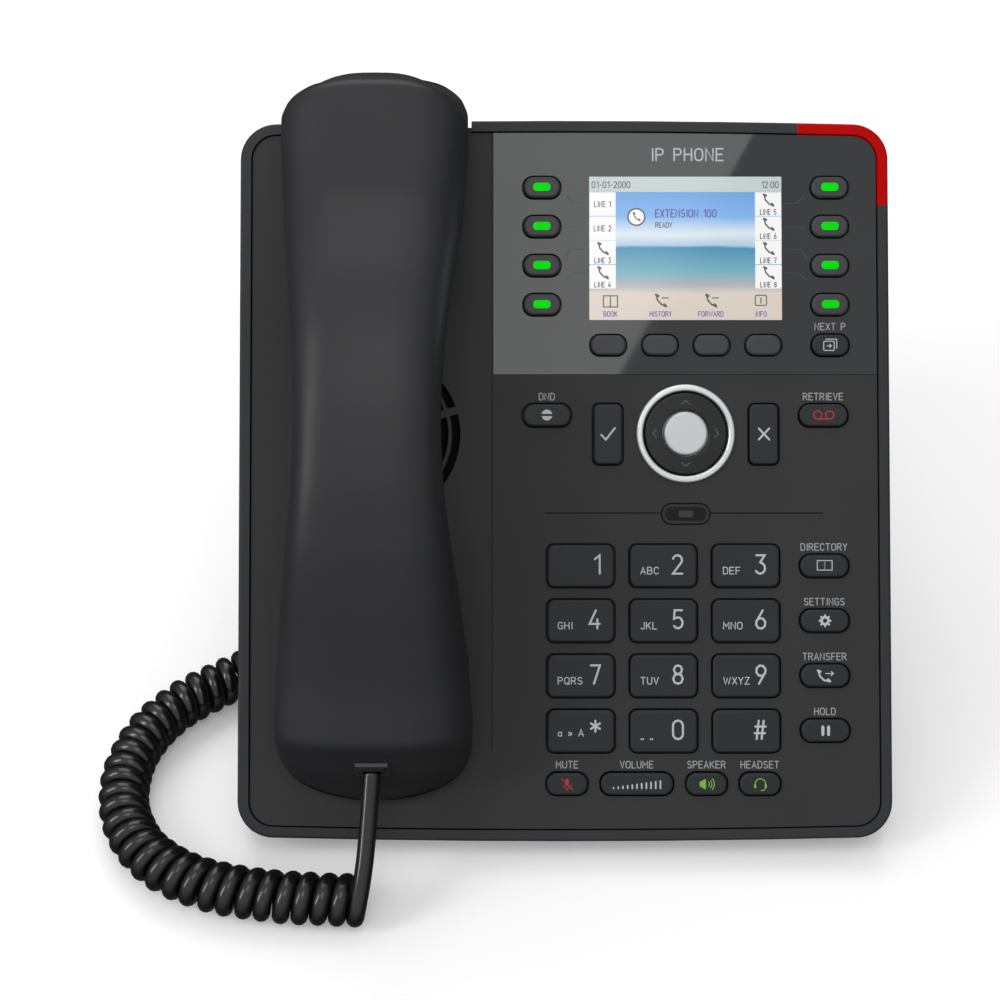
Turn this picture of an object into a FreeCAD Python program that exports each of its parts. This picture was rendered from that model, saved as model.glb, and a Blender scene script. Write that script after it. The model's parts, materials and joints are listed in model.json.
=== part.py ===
import FreeCAD, Part
import math
import os

import Sketcher
from FreeCAD import Placement, Rotation, Vector

# A desk IP phone: a slim tilted body on a clip-in stand, a colour display, thirty-six keys,
# and a handset in a cradle on the left, tied to the body by a curly cord.
#
# Two frames are used. The FACE frame lies in the front panel: u to the right, v up the panel,
# w out of it, with w = 0 on the matte front surface. The ROW frame stands on the desk: +Z up,
# the front towards -Y, the origin in the middle of the footprint at desk level.
# Pieces are drawn in the face frame and stood up by one tilt about X.

SIZES = {
    # the tilted body
    "tilt_angle": 46.0,
    "row_shift": -7.93,
    "body_width": 185.0,
    "body_height": 205.0,
    "body_corner": 10.2,
    "body_arch_radius": 3400.0,
    "body_depth": 24.0,
    "rim_width": 3.1,
    "rim_rise": 0.6,
    "rim_round": 0.9,
    "back_round": 3.2,
    "wall": 2.5,
    "parting_gap": 0.4,
    "panel_corner": 6.7,
    "panel_arch_radius": 3390.0,
    "panel_thickness": 2.4,
    "desk_facet_start": 10.0,
    "foot_height": 1.5,
    # display cover and screen
    "cover_left": -20.2,
    "cover_bottom": 29.7,
    "cover_thickness": 1.1,
    "screen_u": 34.6,
    "screen_v": 65.8,
    "screen_width": 54.9,
    "screen_height": 41.1,
    "module_width": 61.0,
    "module_height": 46.0,
    "module_depth": 4.2,
    # call indicator lens in the upper right corner of the rim
    "lens_left": 66.6,
    "lens_bottom": 78.1,
    "lens_depth": 9.0,
    # handset cradle
    "cradle_u": -53.3,
    "well_floor": 8.0,
    "well_wall": 2.0,
    "ear_well_width": 48.4,
    "ear_well_start": 65.5,
    "ear_well_end": 112.0,
    "ear_well_corner": 8.0,
    "mouth_well_width": 52.0,
    "mouth_well_start": -88.8,
    "mouth_well_end": -38.5,
    "mouth_well_corner": 14.0,
    "notch_width": 53.6,
    "notch_low_v": 80.0,
    "notch_depth": 8.0,
    "groove_left": -21.1,
    "groove_right": -20.3,
    "groove_bottom": -76.6,
    "groove_depth": 0.5,
    # grille over the loudspeaker
    "grille_v": 12.6,
    "grille_inner": 17.9,
    "grille_step": 3.4,
    "grille_slot": 2.4,
    "grille_rib": 2.2,
    "grille_turn": 17.0,
    "grille_rings": 3,
    "grille_ribs": 3,
    "speaker_radius": 24.0,
    "speaker_depth": 9.0,
    # keys: cap size, corner, and what holds them under the panel
    "key_gap": 0.5,
    "key_rise": 1.1,
    "key_flange_margin": 0.8,
    "key_flange_gap": 0.3,
    "key_flange_thickness": 1.0,
    "key_edge": 0.7,
    "dial_width": 18.9,
    "dial_height": 11.9,
    "dial_corner": 2.0,
    "dial_u": 4.5,
    "dial_v": -24.8,
    "dial_step_u": 23.4,
    "dial_step_v": 15.55,
    "line_width": 10.4,
    "line_height": 6.0,
    "line_corner": 2.8,
    "line_left_u": -6.4,
    "line_right_u": 75.7,
    "line_v": 83.2,
    "line_step_v": 11.2,
    "soft_width": 10.0,
    "soft_height": 5.7,
    "soft_corner": 2.6,
    "soft_u": 12.5,
    "soft_step_u": 14.72,
    "soft_v": 38.0,
    "side_width": 13.6,
    "side_height": 6.3,
    "side_corner": 2.9,
    "side_u": 73.6,
    "side_step_v": 15.5,
    "dnd_u": -5.0,
    "dnd_v": 18.0,
    "bar_width": 8.2,
    "bar_height": 17.1,
    "bar_corner": 1.6,
    "confirm_u": 12.3,
    "cancel_u": 56.6,
    "bar_v": 12.6,
    "small_width": 11.4,
    "small_height": 6.2,
    "small_corner": 2.8,
    "bottom_v": -86.3,
    "mute_u": 0.6,
    "speaker_key_u": 40.0,
    "headset_key_u": 55.1,
    "volume_u": 20.3,
    "volume_width": 20.3,
    "volume_height": 6.2,
    "volume_corner": 2.8,
    "volume_flange_width": 12.0,
    "volume_flange_gap": 0.8,
    # navigation cluster
    "nav_u": 34.4,
    "nav_v": 12.8,
    "bezel_outer": 14.0,
    "bezel_inner": 12.1,
    "bezel_rise": 1.2,
    "nav_ring_outer": 11.6,
    "nav_ring_inner": 6.65,
    "nav_ring_rise": 0.9,
    "nav_ring_depth": 1.6,
    "gimbal_outer": 10.4,
    "gimbal_inner": 7.7,
    "gimbal_top": 3.4,
    "gimbal_thickness": 1.8,
    "select_radius": 6.2,
    "select_rise": 1.4,
    "select_depth": 2.7,
    "select_flange_radius": 7.0,
    "select_flange_thickness": 0.6,
    # inside the body
    "board_left": -18.0,
    "board_width": 100.0,
    "board_bottom": -88.0,
    "board_height": 180.0,
    "board_top_w": 8.0,
    "board_thickness": 1.6,
    "processor_u": 34.0,
    "processor_v": 28.0,
    "processor_size": 16.0,
    "processor_height": 1.5,
    "screw_u": 85.6,
    "screw_high_v": 70.0,
    "screw_low_v": -66.0,
    "boss_radius": 3.0,
    "screw_radius": 1.3,
    "screw_head_radius": 2.4,
    "screw_head_height": 1.4,
    "plunger_radius": 2.5,
    "plunger_flange_radius": 4.0,
    "plunger_v": 75.0,
    "plunger_length": 6.5,
    "plunger_collar": 1.4,
    # clearances: between fitted pieces, round a plug, round a sliding post, and in a seat
    "fit_gap": 0.1,
    "plug_ease": 0.2,
    "slide_ease": 0.3,
    "seat_ease": 0.15,
    "module_gap": 0.2,
    "module_corner": 1.0,
    "board_corner": 2.0,
    "driver_frame_height": 3.0,
    # cable sockets in the recess on the back
    "recess_left": -48.0,
    "recess_right": 48.0,
    "recess_bottom": -56.0,
    "recess_top": -34.0,
    "recess_depth": 12.0,
    "jack_length": 15.0,
    "jack_low_w": -21.4,
    "jack_high_w": -9.9,
    "jack_end_wall": 2.5,
    "handset_jack_low_w": -12.2,
    "handset_jack_wall": 1.4,
    "handset_jack_u": -68.0,
    "handset_jack_v": -10.0,
    "handset_jack_block": 13.0,
    # stand
    "stand_half_width": 50.0,
    "stand_wall": 3.0,
    "stand_round": 5.0,
    "stand_plate_low": -2.0,
    "stand_plate_high": 62.0,
    "stand_toe": 79.0,
    "stand_toe_length": 12.0,
    "pad_length": 22.0,
    "pad_width": 9.0,
    "pad_corner": 3.0,
    "front_pad_u": 62.0,
    "rear_pad_u": 34.0,
    "front_pad_inset": 6.0,
    # handset
    "handset_wall": 2.2,
    "receiver_radius": 12.0,
    "receiver_depth": 6.0,
    "microphone_radius": 4.5,
    "microphone_depth": 5.0,
    "receiver_v": 86.0,
    "microphone_v": -64.0,
    "capsule_low_w": -3.0,
    "ear_slot_length": 14.0,
    "ear_slot_step": 3.0,
    "mouth_slot_length": 5.0,
    "slot_width": 1.2,
    "jack_wall": 1.6,
    # modular plugs and the cord
    "plug_width": 7.8,
    "plug_thickness": 4.4,
    "plug_length": 16.0,
    "plug_v": -80.6,
    "plug_w": 17.8,
    "base_plug_out": 9.0,
    "cord_diameter": 4.7,
    "coil_diameter": 15.0,
}

# The curly cord's route over the desk in the row frame, in millimetres: the lead down from the
# handset, the coil's axis lying on the desk, and the lead up to the socket on the back.
HANDSET_LEAD = [(-53.3, -76.93, 36.34), (-54.4, -89.5, 23.9), (-56.5, -101.6, 11.4)]
COIL_AXIS = [(-56.8, -98.4), (-71.5, -98.0), (-87.0, -96.4), (-102.5, -92.8), (-116.6, -84.8),
             (-125.6, -71.6), (-128.2, -56.0), (-125.2, -41.0), (-117.2, -28.4), (-105.2, -19.0),
             (-92.8, -11.4), (-81.6, -4.0)]
BASE_LEAD = [(-81.6, -4.0, 7.5), (-75.4, 2.4, 6.6), (-70.6, 10.4, 7.4), (-68.2, 18.6, 13.0),
             (-67.2, 24.0, 21.6), (-67.0, 25.2, 31.2), (-67.3, 22.4, 38.6), (-67.7, 16.9, 44.5),
             (-68.0, 8.84, 51.48)]

# The handset's sections along v: (v, width, lowest w, highest w).
HANDSET_SECTIONS = [
    (114.6, 6.0, -4.0, 2.0), (113.9, 16.0, -5.4, 7.6), (111.6, 32.0, -6.2, 16.4),
    (107.4, 46.0, -6.8, 24.4), (101.0, 52.0, -7.2, 28.0), (91.0, 51.8, -7.4, 30.4),
    (83.0, 50.8, -7.4, 32.5), (76.0, 49.8, -6.8, 34.6), (69.0, 48.4, -2.4, 37.4),
    (62.0, 46.8, 3.6, 40.4), (48.0, 43.2, 13.0, 46.0),
    (32.0, 40.2, 22.0, 49.8), (15.0, 38.8, 27.0, 51.2), (-2.0, 40.0, 25.6, 50.6),
    (-18.0, 43.6, 18.6, 48.0), (-33.0, 47.8, 7.0, 43.0), (-47.0, 51.2, -4.4, 37.2),
    (-60.0, 53.6, -7.5, 32.0), (-70.0, 54.6, -7.4, 28.4), (-77.0, 53.6, -6.4, 22.8),
    (-82.2, 48.8, -4.0, 15.3), (-86.2, 38.0, -1.4, 9.5), (-89.0, 22.0, 0.6, 6.0),
    (-90.4, 7.0, 2.0, 4.2),
]
# How a section is drawn: where its widest line is, and how full it is above and below that line.
SECTION_MIDDLE = 0.45
SECTION_UPPER_POWER = 0.62
SECTION_LOWER_POWER = 0.8
SECTION_POINTS = 28
# The line between the handset's two shells, seen from the side: (v, w).
HANDSET_PARTING = [(117.0, -1.5), (101.0, 8.6), (76.0, 11.5), (48.0, 27.5), (15.0, 37.8),
                   (-18.0, 31.8), (-47.0, 14.4), (-70.0, 8.5), (-94.0, 2.0)]

# How far a cutting block runs past the body's edges, and over its front.
PAST_THE_EDGE = 120.0
ABOVE_THE_FRONT = 10.0
# How far a cutting tool runs past the face it cuts.
CUT_PAST = 1.0

doc = FreeCAD.newDocument("desk_ip_phone")
sheet = doc.addObject("Spreadsheet::Sheet", "sizes")
for row, (alias, value) in enumerate(SIZES.items(), start=1):
    sheet.set(f"A{row}", alias)
    sheet.set(f"B{row}", str(value))
    sheet.setAlias(f"B{row}", alias)
doc.recompute()

sub_parts = {}


def size(alias):
    """A driving dimension, read from the spreadsheet."""
    return float(sheet.get(alias))


TILT = size("tilt_angle")
SIN = math.sin(math.radians(TILT))
COS = math.cos(math.radians(TILT))
# The facet on the body's lower back edge stands one foot's height above the desk.
LIFT = (size("foot_height") + size("body_height") / 2 * SIN + size("desk_facet_start") * COS)
FACE = Placement(Vector(0, size("row_shift"), LIFT), Rotation(Vector(1, 0, 0), TILT))


def to_row(u, v, w):
    """A point of the face frame, in the row frame."""
    return FACE.multVec(Vector(u, v, w))


def keep(thing, label, placement=FACE):
    """Name a finished sub-part and stand it in the row frame."""
    thing.Label = label
    thing.Placement = placement
    sub_parts[label] = thing
    return thing


# ---------------------------------------------------------------- sketches and features

def new_sketch(body, name, height="0", role="XY_Plane"):
    """A sketch on one of the body's origin planes, raised by a spreadsheet expression."""
    plane = [item for item in body.Origin.OriginFeatures if item.Role == role][0]
    sketch = body.newObject("Sketcher::SketchObject", name)
    sketch.AttachmentSupport = [(plane, "")]
    sketch.MapMode = "FlatFace"
    sketch.setExpression("AttachmentOffset.Base.z", height)
    return sketch


def bind(sketch, constraint, name, expression):
    """Add a named constraint and tie it to the spreadsheet."""
    index = sketch.addConstraint(constraint)
    sketch.renameConstraint(index, name)
    sketch.setExpression(f"Constraints.{name}", expression)


def draw_circle(sketch, name, radius):
    """A circle about the sketch's origin."""
    value = sheet_value(radius)
    index = sketch.addGeometry(Part.Circle(Vector(0, 0, 0), Vector(0, 0, 1), value))
    sketch.addConstraint(Sketcher.Constraint("Coincident", index, 3, -1, 1))
    bind(sketch, Sketcher.Constraint("Radius", index, value), name, radius)


def sheet_value(expression):
    """The number that a spreadsheet expression gives now."""
    return float(sheet.evalExpression(expression))


def draw_rounded_rectangle(sketch, width, height, corner):
    """A rounded rectangle about the sketch's origin, fully tied to the spreadsheet."""
    radius = sheet_value(corner)
    span_u = sheet_value(width) / 2 - radius
    span_v = sheet_value(height) / 2 - radius
    corners = [(span_u, -span_v, -90), (span_u, span_v, 0), (-span_u, span_v, 90),
               (-span_u, -span_v, 180)]
    arcs = []
    for centre_u, centre_v, start in corners:
        circle = Part.Circle(Vector(centre_u, centre_v, 0), Vector(0, 0, 1), radius)
        arc = Part.ArcOfCircle(circle, math.radians(start), math.radians(start + 90))
        arcs.append(sketch.addGeometry(arc))
    lines = []
    for arc, following in zip(arcs, arcs[1:] + arcs[:1]):
        start = sketch.Geometry[arc].EndPoint
        end = sketch.Geometry[following].StartPoint
        line = sketch.addGeometry(Part.LineSegment(start, end))
        sketch.addConstraint(Sketcher.Constraint("Tangent", arc, 2, line, 1))
        sketch.addConstraint(Sketcher.Constraint("Tangent", line, 2, following, 1))
        lines.append(line)
    sketch.addConstraint(Sketcher.Constraint("Vertical", lines[0]))
    sketch.addConstraint(Sketcher.Constraint("Horizontal", lines[1]))
    sketch.addConstraint(Sketcher.Constraint("Vertical", lines[2]))
    sketch.addConstraint(Sketcher.Constraint("Horizontal", lines[3]))
    for arc in arcs[1:]:
        sketch.addConstraint(Sketcher.Constraint("Equal", arcs[0], arc))
    sketch.addConstraint(Sketcher.Constraint("Symmetric", arcs[0], 3, arcs[2], 3, -1, 1))
    bind(sketch, Sketcher.Constraint("Radius", arcs[0], radius), "corner", corner)
    bind(sketch, Sketcher.Constraint("DistanceX", arcs[2], 3, arcs[1], 3, 2 * span_u),
         "span_u", f"{width} - 2 * ({corner})")
    bind(sketch, Sketcher.Constraint("DistanceY", arcs[0], 3, arcs[1], 3, 2 * span_v),
         "span_v", f"{height} - 2 * ({corner})")


def draw_arched_outline(sketch, inset, corner, arch):
    """The body's outline: straight sides, gently arched top and bottom, rounded corners."""
    radius = sheet_value(corner)
    arch_radius = sheet_value(arch)
    half = sheet_value(f"0.5*sizes.body_width - {inset}")
    crown = sheet_value(f"0.5*sizes.body_height - {inset}")
    centre_v = crown - arch_radius
    corner_u = half - radius
    corner_v = centre_v + math.sqrt((arch_radius - radius) ** 2 - corner_u ** 2)
    lean = math.atan2(corner_u, corner_v - centre_v)
    quarter = math.pi / 2

    def arc(centre, value, start, end):
        circle = Part.Circle(centre, Vector(0, 0, 1), value)
        return sketch.addGeometry(Part.ArcOfCircle(circle, start, end))

    top = arc(Vector(0, centre_v, 0), arch_radius, quarter - lean, quarter + lean)
    top_left = arc(Vector(-corner_u, corner_v, 0), radius, quarter + lean, math.pi)
    left = sketch.addGeometry(Part.LineSegment(Vector(-half, corner_v, 0), Vector(-half, -corner_v, 0)))
    low_left = arc(Vector(-corner_u, -corner_v, 0), radius, math.pi, math.pi + quarter - lean)
    bottom = arc(Vector(0, -centre_v, 0), arch_radius, -quarter - lean, -quarter + lean)
    low_right = arc(Vector(corner_u, -corner_v, 0), radius, -quarter + lean, 0)
    right = sketch.addGeometry(Part.LineSegment(Vector(half, -corner_v, 0), Vector(half, corner_v, 0)))
    top_right = arc(Vector(corner_u, corner_v, 0), radius, 0, quarter - lean)
    ring = [top, top_left, left, low_left, bottom, low_right, right, top_right]
    for edge, following in zip(ring, ring[1:] + ring[:1]):
        sketch.addConstraint(Sketcher.Constraint("Tangent", edge, 2, following, 1))
    sketch.addConstraint(Sketcher.Constraint("Vertical", left))
    sketch.addConstraint(Sketcher.Constraint("Vertical", right))
    for other in (low_left, low_right, top_right):
        sketch.addConstraint(Sketcher.Constraint("Equal", top_left, other))
    sketch.addConstraint(Sketcher.Constraint("Equal", top, bottom))
    sketch.addConstraint(Sketcher.Constraint("PointOnObject", top, 3, -2))
    sketch.addConstraint(Sketcher.Constraint("PointOnObject", bottom, 3, -2))
    reach = f"{arch} - 0.5*sizes.body_height + {inset}"
    bind(sketch, Sketcher.Constraint("DistanceY", top, 3, -1, 1, -centre_v), "top_reach", reach)
    bind(sketch, Sketcher.Constraint("DistanceY", -1, 1, bottom, 3, -centre_v), "low_reach", reach)
    bind(sketch, Sketcher.Constraint("DistanceX", left, 1, right, 1, 2 * half), "width",
         f"sizes.body_width - 2 * ({inset})")
    bind(sketch, Sketcher.Constraint("DistanceX", left, 1, -1, 1, half), "half_width",
         f"0.5*sizes.body_width - ({inset})")
    bind(sketch, Sketcher.Constraint("Radius", top_left, radius), "corner", corner)
    bind(sketch, Sketcher.Constraint("Radius", top, arch_radius), "arch", arch)


def pad(body, sketch, name, length, reverse=False):
    """Raise a sketch along its normal."""
    feature = body.newObject("PartDesign::Pad", name)
    feature.Profile = sketch
    feature.setExpression("Length", length)
    feature.Reversed = reverse
    return feature


def round_edges(body, base, name, radius, chosen):
    """Fillet the base feature's edges that the test picks."""
    doc.recompute()
    edges = [f"Edge{i}" for i, edge in enumerate(base.Shape.Edges, start=1) if chosen(edge)]
    feature = body.newObject("PartDesign::Fillet", name)
    feature.Base = (base, edges)
    feature.setExpression("Radius", radius)
    return feature


def lies_at(height):
    """A test for edges that lie wholly at one height."""
    def test(edge):
        box = edge.BoundBox
        return abs(box.ZMin - height) < 1e-4 and abs(box.ZMax - height) < 1e-4
    return test


def block(name, low, high, corner=0.0):
    """A box between two corners, its upright edges rounded where a corner radius is given."""
    shape = Part.makeBox(high[0] - low[0], high[1] - low[1], high[2] - low[2], Vector(*low))
    if corner:
        upright = [e for e in shape.Edges if abs(e.BoundBox.ZLength - (high[2] - low[2])) < 1e-6]
        shape = shape.makeFillet(corner, upright)
    return feature(name, shape)


def feature(name, shape):
    """A plain Part feature that holds a shape made from the sheet's sizes."""
    item = doc.addObject("Part::Feature", name)
    item.Shape = shape
    return item


def cylinder(name, radius, length, place):
    """A Part::Cylinder with its radius and height bound to the sheet."""
    item = doc.addObject("Part::Cylinder", name)
    item.setExpression("Radius", radius)
    item.setExpression("Height", length)
    item.Placement = Placement(Vector(*place), Rotation())
    return item


def cut(name, base, tool):
    item = doc.addObject("Part::Cut", name)
    item.Base = base
    item.Tool = tool
    return item


def fuse(name, shapes):
    item = doc.addObject("Part::MultiFuse", name)
    item.Shapes = shapes
    return item


def common(name, shapes):
    item = doc.addObject("Part::MultiCommon", name)
    item.Shapes = shapes
    return item


# ---------------------------------------------------------------- keys

def dial_keys():
    names = ["1", "2", "3", "4", "5", "6", "7", "8", "9", "star", "0", "hash"]
    for index, name in enumerate(names):
        u = size("dial_u") + index % 3 * size("dial_step_u")
        v = size("dial_v") - index // 3 * size("dial_step_v")
        yield f"key_{name}", "dial", u, v


def line_keys():
    for side in ("left", "right"):
        for number in range(4):
            v = size("line_v") - number * size("line_step_v")
            yield f"line_key_{side}_{number + 1}", "line", size(f"line_{side}_u"), v


def soft_keys():
    for number in range(4):
        u = size("soft_u") + number * size("soft_step_u")
        yield f"soft_key_{number + 1}", "soft", u, size("soft_v")


def function_keys():
    yield "page_key", "line", size("line_right_u"), size("soft_v")
    yield "dnd_key", "side", size("dnd_u"), size("dnd_v")
    yield "message_key", "side", size("side_u"), size("dnd_v")
    for number, name in enumerate(("directory", "settings", "transfer", "hold")):
        v = size("dial_v") - number * size("side_step_v")
        yield f"{name}_key", "side", size("side_u"), v
    yield "mute_key", "small", size("mute_u"), size("bottom_v")
    yield "speaker_key", "small", size("speaker_key_u"), size("bottom_v")
    yield "headset_key", "small", size("headset_key_u"), size("bottom_v")
    yield "confirm_key", "bar", size("confirm_u"), size("bar_v")
    yield "cancel_key", "bar", size("cancel_u"), size("bar_v")


PRESSED_KEYS = [*dial_keys(), *line_keys(), *soft_keys(), *function_keys()]
ROCKER = ("volume_rocker", "volume", size("volume_u"), size("bottom_v"))


def make_key(label, style, u, v, flange_width, flange_gap):
    """A key cap, with the flange under the front panel that stops it from falling out."""
    body = doc.addObject("PartDesign::Body", label)
    cap_depth = f"sizes.panel_thickness + {flange_gap}"
    flange_depth = f"{cap_depth} + sizes.key_flange_thickness"
    width = f"sizes.{style}_width"
    height = f"sizes.{style}_height"
    corner = f"sizes.{style}_corner"
    flange = new_sketch(body, f"{label}_flange_outline", f"-({flange_depth})")
    draw_rounded_rectangle(flange, flange_width, f"{height} + 2*sizes.key_flange_margin", corner)
    pad(body, flange, f"{label}_flange", "sizes.key_flange_thickness")
    cap = new_sketch(body, f"{label}_cap_outline", f"-({cap_depth})")
    draw_rounded_rectangle(cap, width, height, corner)
    cap_pad = pad(body, cap, f"{label}_cap", f"{cap_depth} + sizes.key_rise")
    round_edges(body, cap_pad, f"{label}_edge", "sizes.key_edge", lies_at(size("key_rise")))
    keep(body, label, FACE.multiply(Placement(Vector(u, v, 0), Rotation())))


def make_keys():
    for label, style, u, v in PRESSED_KEYS:
        flange_width = f"sizes.{style}_width + 2*sizes.key_flange_margin"
        make_key(label, style, u, v, flange_width, "sizes.key_flange_gap")
    make_key(*ROCKER, "sizes.volume_flange_width", "sizes.volume_flange_gap")


def window_tools():
    """One through cutter for each key, wider than its cap by the key gap."""
    gap = size("key_gap")
    cutters = []
    for _, style, u, v in [*PRESSED_KEYS, ROCKER]:
        half_u = size(f"{style}_width") / 2 + gap
        half_v = size(f"{style}_height") / 2 + gap
        corner = size(f"{style}_corner") + gap
        box = Part.makeBox(2 * half_u, 2 * half_v, 8, Vector(u - half_u, v - half_v, -6))
        upright = [edge for edge in box.Edges if edge.BoundBox.ZLength > 7]
        cutters.append(box.makeFillet(corner, upright))
    return cutters


# ---------------------------------------------------------------- navigation cluster

def make_ring(label, outer, inner, base_w, length, edge):
    """A flat ring about the navigation axis, its upper edges eased."""
    body = doc.addObject("PartDesign::Body", label)
    sketch = new_sketch(body, f"{label}_circles", base_w)
    draw_circle(sketch, "outer", outer)
    draw_circle(sketch, "inner", inner)
    ring = pad(body, sketch, f"{label}_ring", length)
    if edge:
        doc.recompute()
        round_edges(body, ring, f"{label}_edge", edge, lies_at(ring.Shape.BoundBox.ZMax))
    return body


def make_navigation():
    centre = FACE.multiply(Placement(Vector(size("nav_u"), size("nav_v"), 0), Rotation()))
    bezel = make_ring("nav_bezel", "sizes.bezel_outer", "sizes.bezel_inner",
                      "-(sizes.panel_thickness)", "sizes.panel_thickness + sizes.bezel_rise", "0.6")
    keep(bezel, "nav_bezel", centre)
    ring = make_ring("nav_ring", "sizes.nav_ring_outer", "sizes.nav_ring_inner",
                     "-(sizes.nav_ring_depth)", "sizes.nav_ring_depth + sizes.nav_ring_rise", "0.4")
    keep(ring, "nav_ring", centre)
    gimbal = make_ring("nav_gimbal", "sizes.gimbal_outer", "sizes.gimbal_inner",
                       "-(sizes.gimbal_top + sizes.gimbal_thickness)", "sizes.gimbal_thickness", "")
    keep(gimbal, "nav_gimbal", centre)
    button = doc.addObject("PartDesign::Body", "select_button")
    flange = new_sketch(button, "select_flange_circle",
                        "-(sizes.select_depth + sizes.select_flange_thickness)")
    draw_circle(flange, "flange", "sizes.select_flange_radius")
    pad(button, flange, "select_flange", "sizes.select_flange_thickness")
    cap = new_sketch(button, "select_cap_circle", "-(sizes.select_depth)")
    draw_circle(cap, "cap", "sizes.select_radius")
    cap_pad = pad(button, cap, "select_cap", "sizes.select_depth + sizes.select_rise")
    round_edges(button, cap_pad, "select_edge", "sizes.key_edge", lies_at(size("select_rise")))
    keep(button, "select_button", centre)


# ---------------------------------------------------------------- casings

def make_tray():
    """The back shell with its walls, before the notch, lens space and openings are cut."""
    body = doc.addObject("PartDesign::Body", "tray")
    outline = new_sketch(body, "tray_outline", "-(sizes.body_depth)")
    draw_arched_outline(outline, "0", "sizes.body_corner", "sizes.body_arch_radius")
    solid = pad(body, outline, "tray_block", "sizes.body_depth + sizes.rim_rise")
    front = size("rim_rise")
    eased = round_edges(body, solid, "tray_front_edge", "sizes.rim_round", lies_at(front))
    rounded = round_edges(body, eased, "tray_back_edge", "sizes.back_round",
                          lies_at(-size("body_depth")))
    doc.recompute()
    inner = new_sketch(body, "tray_inner_outline", "-(sizes.body_depth - sizes.wall)")
    draw_arched_outline(inner, "sizes.rim_width", "sizes.body_corner - sizes.rim_width",
                        "sizes.panel_arch_radius")
    hollow = body.newObject("PartDesign::Pocket", "tray_hollow")
    hollow.Profile = inner
    hollow.Type = "ThroughAll"
    hollow.Reversed = True
    doc.recompute()
    if hollow.Shape.Volume > 0.5 * rounded.Shape.Volume:
        raise RuntimeError("the tray's pocket removed too little")
    return body


def facet_tools():
    """The flat on the lower back edge that stands on the desk, and the wall behind it."""
    start = size("desk_facet_start")
    low_v = -size("body_height") / 2
    half = size("body_width") / 2 - size("rim_width")
    back = size("body_depth")
    run = (back + 4 - start) * COS / SIN

    def prism(points, reach):
        corners = [Vector(-reach, v, w) for v, w in points]
        face = Part.Face(Part.makePolygon(corners + corners[:1]))
        return face.extrude(Vector(2 * reach, 0, 0))

    removed = prism([(low_v, -start), (low_v + run, -back - 4), (low_v - 9, -back - 4),
                     (low_v - 9, -start + 9 * SIN / COS)], half + 20)
    wall = size("wall") / SIN
    inner_run = (back - 1 - start) * COS / SIN
    backing = prism([(low_v + 2, -start), (low_v + 2, -start + wall),
                     (low_v + 2 + inner_run, -back + 1 + wall), (low_v + inner_run, -back + 1)], half)
    return feature("desk_facet_cutter", removed), feature("desk_facet_wall", backing)


def recess_box(name, grow, high):
    """The socket recess on the back, grown by a wall where it is the solid around it."""
    low = (size("recess_left") - grow, size("recess_bottom") - grow, -size("body_depth") - 1 + grow)
    return block(name, low, (size("recess_right") + grow, size("recess_top"), high))


def make_lower_housing():
    tray = make_tray()
    facet, facet_wall = facet_tools()
    wall = size("wall")
    back = -size("body_depth")
    bosses = [cylinder(f"boss_{index}", "sizes.boss_radius",
                       "sizes.body_depth - sizes.wall - sizes.panel_thickness - sizes.key_flange_gap",
                       (u, v, back + wall)) for index, (u, v) in enumerate(screw_places())]
    recess_wall = recess_box("recess_wall", 2.0, -size("recess_depth") + 2.0)
    solid = fuse("lower_housing_solid", [tray, facet_wall, recess_wall, *bosses])
    floor = -size("recess_depth")
    tools = [facet, recess_box("recess_space", 0.0, floor), lens_space(), notch_space()]
    gap = size("parting_gap")
    half = size("plug_width") / 2 + gap
    jack_u = size("handset_jack_u")
    jack_v = size("handset_jack_v")
    thick = size("plug_thickness") / 2 + gap
    tools.append(block("handset_jack_window", (jack_u - half, jack_v - thick, back - 1),
                       (jack_u + half, jack_v + thick, back + wall + 1)))
    for index, (u, v) in enumerate(screw_places()):
        tools.append(cylinder(f"screw_bore_{index}", "sizes.screw_radius", "sizes.body_depth",
                              (u, v, back + 1)))
        tools.append(cylinder(f"screw_sink_{index}", "sizes.screw_head_radius + 0.2", "2.0",
                              (u, v, back - 0.4)))
    keep(cut("lower_housing", solid, fuse("lower_housing_openings", tools)), "lower_housing")
    lens = common("call_indicator", [tray, lens_space()])
    keep(lens, "call_indicator")


def lens_space():
    """The corner of the rim that the call indicator's lens fills."""
    if doc.getObject("lens_space"):
        return doc.getObject("lens_space")
    return block("lens_space", (size("lens_left"), size("lens_bottom"), -size("lens_depth")),
                 (PAST_THE_EDGE, PAST_THE_EDGE, ABOVE_THE_FRONT))


def notch_space():
    """The gap in the top wall through which the handset's ear end reaches out."""
    half = size("notch_width") / 2
    return block("notch_space", (size("cradle_u") - half, size("notch_low_v"), -size("notch_depth")),
                 (size("cradle_u") + half, PAST_THE_EDGE, ABOVE_THE_FRONT))


def screw_places():
    side = size("screw_u")
    return [(u, v) for v in (size("screw_high_v"), size("screw_low_v")) for u in (-side, side)]


def make_screws():
    back = -size("body_depth")
    pieces = []
    for index, (u, v) in enumerate(screw_places()):
        head = cylinder(f"screw_head_{index}", "sizes.screw_head_radius", "sizes.screw_head_height",
                        (u, v, back + 0.1))
        shank = cylinder(f"screw_shank_{index}", "sizes.screw_radius - 0.05", "12.0",
                         (u, v, back + 0.1))
        pieces.append(fuse(f"screw_{index}", [head, shank]))
    group = doc.addObject("Part::Compound", "housing_screws")
    group.Links = pieces
    keep(group, "housing_screws")


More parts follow.
